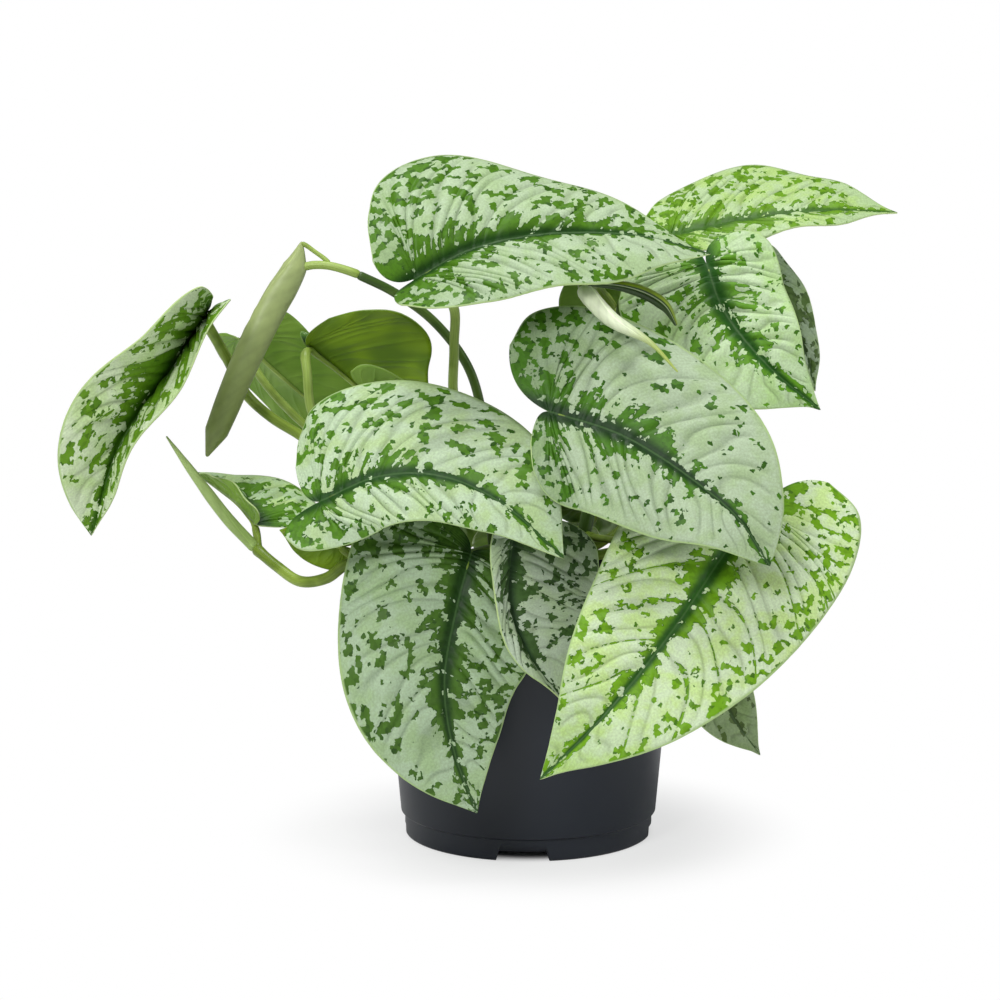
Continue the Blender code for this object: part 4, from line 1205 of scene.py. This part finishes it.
# %% All young parts
Young = namedtuple("Young", "route radii skin shape sides", defaults=(None, 14))
YOUNG = {
    "stalk_left_rolled": Young(
        [(-59.6, 6, 200.2), (-61.4, 6, 201.1), (-70.3, 7, 203.6), (-76, 8, 203.8),
         (-79.3, 8.3, 203.2), (-82, 8.5, 202.6)], (1.6, 1.5, 1.5), stem_pale, sides=16),
    "young_leaf_left": Young(
        [(-80.3, 9.5, 212), (-83, 8.5, 203), (-91, 6, 189), (-101.5, 0, 167), (-109, -3, 149),
         (-114, -4, 137)], (0.4, 4.6, 5.5, 5.6, 5.4, 5.2, 5.0, 4.8, 4.3, 0.5), young_olive,
        rolled(0.14, 0.35, 0.25, 0.35), 36),
    "stalk_young_right": Young(
        [(30.5, 10, 188), (24, 4, 197), (20, -20, 203), (18, -44, 203.5), (18, -51, 202.3),
         (18.2, -53.5, 201.6)], (1.5, 1.5, 1.8), stem_green),
    "young_leaf_right": Young(
        [(18, -51.7, 202), (18.5, -54, 201.3), (27, -62, 193), (40, -70, 186), (49, -76, 177)],
        (2.7, 3.2, 3.1, 2.9, 2.5, 1.9, 1.2, 0.8, 0.6, 0.3), young_cream,
        rolled(0.16, 0.4, 0.1, 0.1), 36),
    "sheath_right": Young(
        [(18.2, -44, 203), (20.4, -44, 203), (31, -42.5, 202), (40, -41, 199),
         (46.5, -41, 194.5), (50, -43, 188.5)], (0.8, 1.6, 2.2, 2.2, 0.6), sheath_olive,
        gutter, 32),
    "sheath_left": Young(
        [(-70.5, 7.4, 204.4), (-72.6, 8, 206.3), (-75.5, 8.6, 208.3), (-79.1, 9.3, 210.8),
         (-80.6, 9.5, 211.4)], (0.9, 0.8, 0.9), stem_pale),
    "young_leaf_low": Young(
        [(-95.4, -24.5, 107.4), (-97, -23, 109), (-105, -24, 118), (-115, -26, 132),
         (-126, -28, 148)], (2.1, 2.3, 2.2, 1.5, 0.3), young_green,
        rolled(0.15, 0.3, 0.1, 0.2), 30),
}
for node, young in YOUNG.items():
    grow_tube(node + "_young", young.route, young.radii, young.skin, node,
              sides=young.sides, spacing=1.0, shape=young.shape)
print(len(YOUNG), "young parts")

# %% [markdown]
# ## The pot
# A nursery pot is thin moulded plastic. The mould needs the wall tapered, the wide collar
# makes it stiff and lets pots stack, and the notches in the foot ring let water out. A
# cylinder could be scaled and inset to this shape, but one profile turned round the vertical
# axis gives wall, collar and foot in a single step. Every corner is rounded a little, as on
# any moulding, because those small roundings catch the light.

# %% The pot's profile
POT_HEIGHT = 93.0
RIM_RADIUS = 60.0
COLLAR_HEIGHT = 13.0
COLLAR_STEP = 7.8            # from the rim's edge in to the wall under the collar
BASE_RADIUS = 44.4
FOOT_BAND_HEIGHT = 7.8
FOOT_STEP = 1.4
WALL = 1.2
FLOOR_Z = 4.0
FOOT_RING_WIDTH = 3.2
CENTRE_FOOT_RADIUS = 12.0
ROUND_STEPS = 144            # faces round the pot


def wall_radius(z):
    low, high = BASE_RADIUS + FOOT_STEP, RIM_RADIUS - COLLAR_STEP
    height = POT_HEIGHT - COLLAR_HEIGHT - FOOT_BAND_HEIGHT
    return low + (high - low) * (z - FOOT_BAND_HEIGHT) / height


def pot_profile():
    """Out along the underside, up the outer side and down the inner one: radius, height and
    how much the corner there is rounded."""
    band, collar = FOOT_BAND_HEIGHT, POT_HEIGHT - COLLAR_HEIGHT
    foot, cup, wide = BASE_RADIUS - FOOT_RING_WIDTH, CENTRE_FOOT_RADIUS, RIM_RADIUS - 3
    return [(0, 0, 0), (cup, 0, 0.5), (cup + 0.6, FLOOR_Z, 0.5), (foot - 0.6, FLOOR_Z, 0.5),
            (foot, 0, 0.7), (BASE_RADIUS, 0, 2.0), (BASE_RADIUS, band, 0.5),
            (BASE_RADIUS + FOOT_STEP, band + 0.6, 0.4), (wall_radius(collar), collar, 0.8),
            (wide, collar + 1, 1.0), (wide + 1.2, POT_HEIGHT - 1.7, 0.8),
            (RIM_RADIUS, POT_HEIGHT - 1.6, 0.5), (RIM_RADIUS, POT_HEIGHT, 0.7),
            (wide, POT_HEIGHT, 1.0), (wide - WALL, collar + 2.2, 1.2),
            (wall_radius(collar) - WALL, collar + 1.2, 0.8),
            (BASE_RADIUS + FOOT_STEP - WALL, band + 1, 0.4), (BASE_RADIUS - WALL, band - 0.2, 0.4),
            (BASE_RADIUS - WALL - 0.4, FLOOR_Z + WALL, 1.2), (cup - 0.6, FLOOR_Z + WALL, 0.5),
            (cup - WALL, WALL, 0.5), (0, WALL, 0)]


def rounded(profile, steps=4):
    """The profile with an arc of a few points in place of each corner."""
    smooth = [profile[0][:2]]
    for before, here, after in zip(profile, profile[1:], profile[2:]):
        corner = Vector(here[:2])
        back, on = Vector(before[:2]) - corner, Vector(after[:2]) - corner
        reach = min(here[2], back.length * 0.45, on.length * 0.45)
        start, end = corner + back.normalized() * reach, corner + on.normalized() * reach
        for k in range(steps + 1):
            t = k / steps
            smooth.append(tuple(start * (1 - t) ** 2 + corner * 2 * t * (1 - t) + end * t ** 2))
    smooth.append(profile[-1][:2])
    return smooth


print(len(pot_profile()), "corners,", len(rounded(pot_profile())), "points once rounded")

# %% Turn the pot
def turned(profile):
    bm = bmesh.new()
    verts = [bm.verts.new((r * MM, 0, z * MM)) for r, z in profile]
    edges = [bm.edges.new(pair) for pair in zip(verts, verts[1:])]
    bmesh.ops.spin(bm, geom=verts + edges, cent=(0, 0, 0), axis=(0, 0, 1), angle=math.tau,
                   steps=ROUND_STEPS, use_merge=True)
    bmesh.ops.remove_doubles(bm, verts=bm.verts, dist=0.01 * MM)
    bmesh.ops.recalc_face_normals(bm, faces=bm.faces)
    return bm


def plastic(name, colour):
    """Satin nursery plastic: even, with very fine grain and faint cloudy wear."""
    paint = Paint(name)
    clouds = paint.noise(paint.place(), 28.0, 4.0)
    tint = paint.shade(colour, paint.step(clouds, 0.3, 0.7, 0.93, 1.07))
    roughness = paint.step(clouds, 0.3, 0.7, 0.36, 0.44)
    normal = paint.bump(paint.noise(paint.place(), 2600.0, 2.0), 0.00003, 0.5)
    return paint.finish(tint, roughness, Specular_IOR_Level=0.35, Normal=normal)


pot_plastic = plastic("pot_plastic_satin", (0.0165, 0.0200, 0.0285))
pot = add_object("pot_body", turned(rounded(pot_profile())), [pot_plastic], "pot")
print("the pot is", POT_HEIGHT, "mm high and", 2 * RIM_RADIUS, "mm wide")

# %% [markdown]
# ## Notches and drain holes
# Water leaves through holes in the floor and out through notches in the foot ring. Cutting
# them into the profile's faces by hand would spoil its even rings. So boxes and cylinders are
# set where plastic is missing, and a Boolean takes them out of the pot all at once.

# %% Notches and drain holes
NOTCH_COUNT = 4
NOTCH_WIDTH = 18.0
NOTCH_SLANT = 1.5            # wider by this at the foot, narrower at the top
NOTCH_REACH = 16             # how far the box reaches through the ring
NOTCH_TURN = math.radians(-93)
DRAIN_HOLES = 8
DRAIN_RADIUS = 3.2
DRAIN_CIRCLE = 24.0

cutters = bmesh.new()
for k in range(NOTCH_COUNT):
    made = bmesh.ops.create_cube(cutters, size=1)["verts"]
    for vert in made:
        at_foot = vert.co.z < 0
        vert.co.x *= (NOTCH_WIDTH + (NOTCH_SLANT if at_foot else -NOTCH_SLANT)) * MM
        vert.co.y = (BASE_RADIUS - 4 + vert.co.y * NOTCH_REACH) * MM
        vert.co.z = (-1 if at_foot else FLOOR_Z - 0.2) * MM
    turn = NOTCH_TURN - math.pi / 2 + k * math.tau / NOTCH_COUNT
    bmesh.ops.rotate(cutters, verts=made, cent=(0, 0, 0), matrix=Matrix.Rotation(turn, 3, "Z"))
hole = Matrix.Translation((DRAIN_CIRCLE * MM, 0, (FLOOR_Z + WALL / 2) * MM))
for k in range(DRAIN_HOLES):
    turned_by = Matrix.Rotation((k + 0.5) * math.tau / DRAIN_HOLES, 4, "Z")
    bmesh.ops.create_cone(cutters, cap_ends=True, segments=32, radius1=DRAIN_RADIUS * MM,
                          radius2=DRAIN_RADIUS * MM, depth=3 * WALL * MM,
                          matrix=turned_by @ hole)
cutter_mesh = bpy.data.meshes.new("pot_cutter")
cutters.to_mesh(cutter_mesh)
cutters.free()
cutter = bpy.data.objects.new("pot_cutter", cutter_mesh)
scene.collection.objects.link(cutter)
cutter.hide_render = True
cutter.hide_viewport = True
boolean = pot.modifiers.new("notches", "BOOLEAN")
boolean.operation = "DIFFERENCE"
boolean.solver = "EXACT"
boolean.object = cutter
print(NOTCH_COUNT, "notches and", DRAIN_HOLES, "drain holes")

# %% [markdown]
# ## The potting mix
# A peat mix is dark, dull and crumbly. Bump alone would leave its outline smooth above the
# rim. So its lump is turned like the pot and pushed up and down by noise, and small crumbs
# with only 20 faces each lie on it.

# %% Look of the potting mix
def crumbly(name, colour, light):
    paint = Paint(name)
    clouds = paint.noise(paint.place(), 300.0, 4.0, 0.6)
    grains = paint.node("TexVoronoi", {"Vector": paint.place(), "Scale": 420.0})
    base = paint.mix(paint.step(clouds, 0.4, 0.68), colour, light)
    # painted shade: each grain is lighter in its middle and darker towards its edges, as in the
    # gaps between grains
    base = paint.shade(base, paint.step(grains.outputs["Distance"], 0.1, 0.7, 1.15, 0.6))
    normal = paint.bump(clouds, 0.0012, 0.8)
    return paint.finish(base, 0.95, Specular_IOR_Level=0.15, Normal=normal)


peat = crumbly("peat", (0.020, 0.014, 0.010), (0.052, 0.036, 0.024))


print("the mix is dark and dull")

# %% The lump
MIX_GAP = WALL + 0.3         # from the outside of the pot in to the mix
MIX_EDGE = wall_radius(MIX_EDGE_Z) - MIX_GAP
MIX_RINGS = 44


def make_lump():
    band, cup, floor = FOOT_BAND_HEIGHT, CENTRE_FOOT_RADIUS - WALL, FLOOR_Z + MIX_GAP
    side = [(0, MIX_GAP), (cup - 0.5, MIX_GAP), (cup + 0.1, floor),
            (BASE_RADIUS - MIX_GAP - 0.5, floor), (BASE_RADIUS - MIX_GAP, band - 0.2),
            (wall_radius(band + 1.3) - MIX_GAP, band + 1.3),
            (wall_radius(MIX_EDGE_Z - 4) - MIX_GAP, MIX_EDGE_Z - 4)]
    top = [(MIX_EDGE * share, MIX_EDGE_Z) for share in np.linspace(0.99, 0, MIX_RINGS)]
    bm = turned(side + top)
    for vert in bm.verts:
        if vert.co.z > (MIX_EDGE_Z - 1) * MM:
            x, y = vert.co.x / MM, vert.co.y / MM
            keep = min(1, (MIX_EDGE - math.hypot(x, y)) / 2)
            lumps = (noise.noise(Vector((x, y, 0)) * 0.35) * 1.2       # wide ones
                     + noise.noise(Vector((x, y, 5)) * 1.1) * 0.7)     # and small ones
            vert.co.z = (mix_height(x, y) + keep * lumps) * MM
    add_object("potting_mix_lump", bm, [peat], "potting_mix")


make_lump()
print("the mix is", round(2 * MIX_EDGE), "mm wide at its edge")

# %% Crumbs
CRUMBS = 420
ON_CLUMP = 0.3               # share of them that lies round the clump
CRUMB_RADIUS = (0.5, 1.7)


def make_crumbs():
    bm = bmesh.new()
    for _ in range(CRUMBS):
        turn = CHANCE.uniform(0, math.tau)
        out = MIX_EDGE * math.sqrt(CHANCE.uniform(0, 0.92))
        if CHANCE.random() < ON_CLUMP:
            turn = math.pi + CHANCE.gauss(0, 0.25)
            out = min(MIX_EDGE * 0.95, abs(CHANCE.gauss(-MIX_CLUMP[0], 6)))
        x, y = out * math.cos(turn), out * math.sin(turn)
        place = Matrix.Translation(Vector((x, y, mix_height(x, y) + 0.2)) * MM)
        angle = CHANCE.uniform(0, 6)
        turned_by = Matrix.Rotation(angle, 4, Vector([CHANCE.gauss(0, 1) for _ in range(3)]))
        size = Matrix.Diagonal((*[CHANCE.uniform(*CRUMB_RADIUS) * MM for _ in range(3)], 1))
        made = bmesh.ops.create_icosphere(bm, subdivisions=1, radius=1,
                                          matrix=place @ turned_by @ size)
        for vert in made["verts"]:
            vert.co += Vector([CHANCE.uniform(-0.25, 0.25) * MM for _ in range(3)])
    add_object("potting_mix_crumbs", bm, [peat], None)


make_crumbs()
print(CRUMBS, "crumbs")
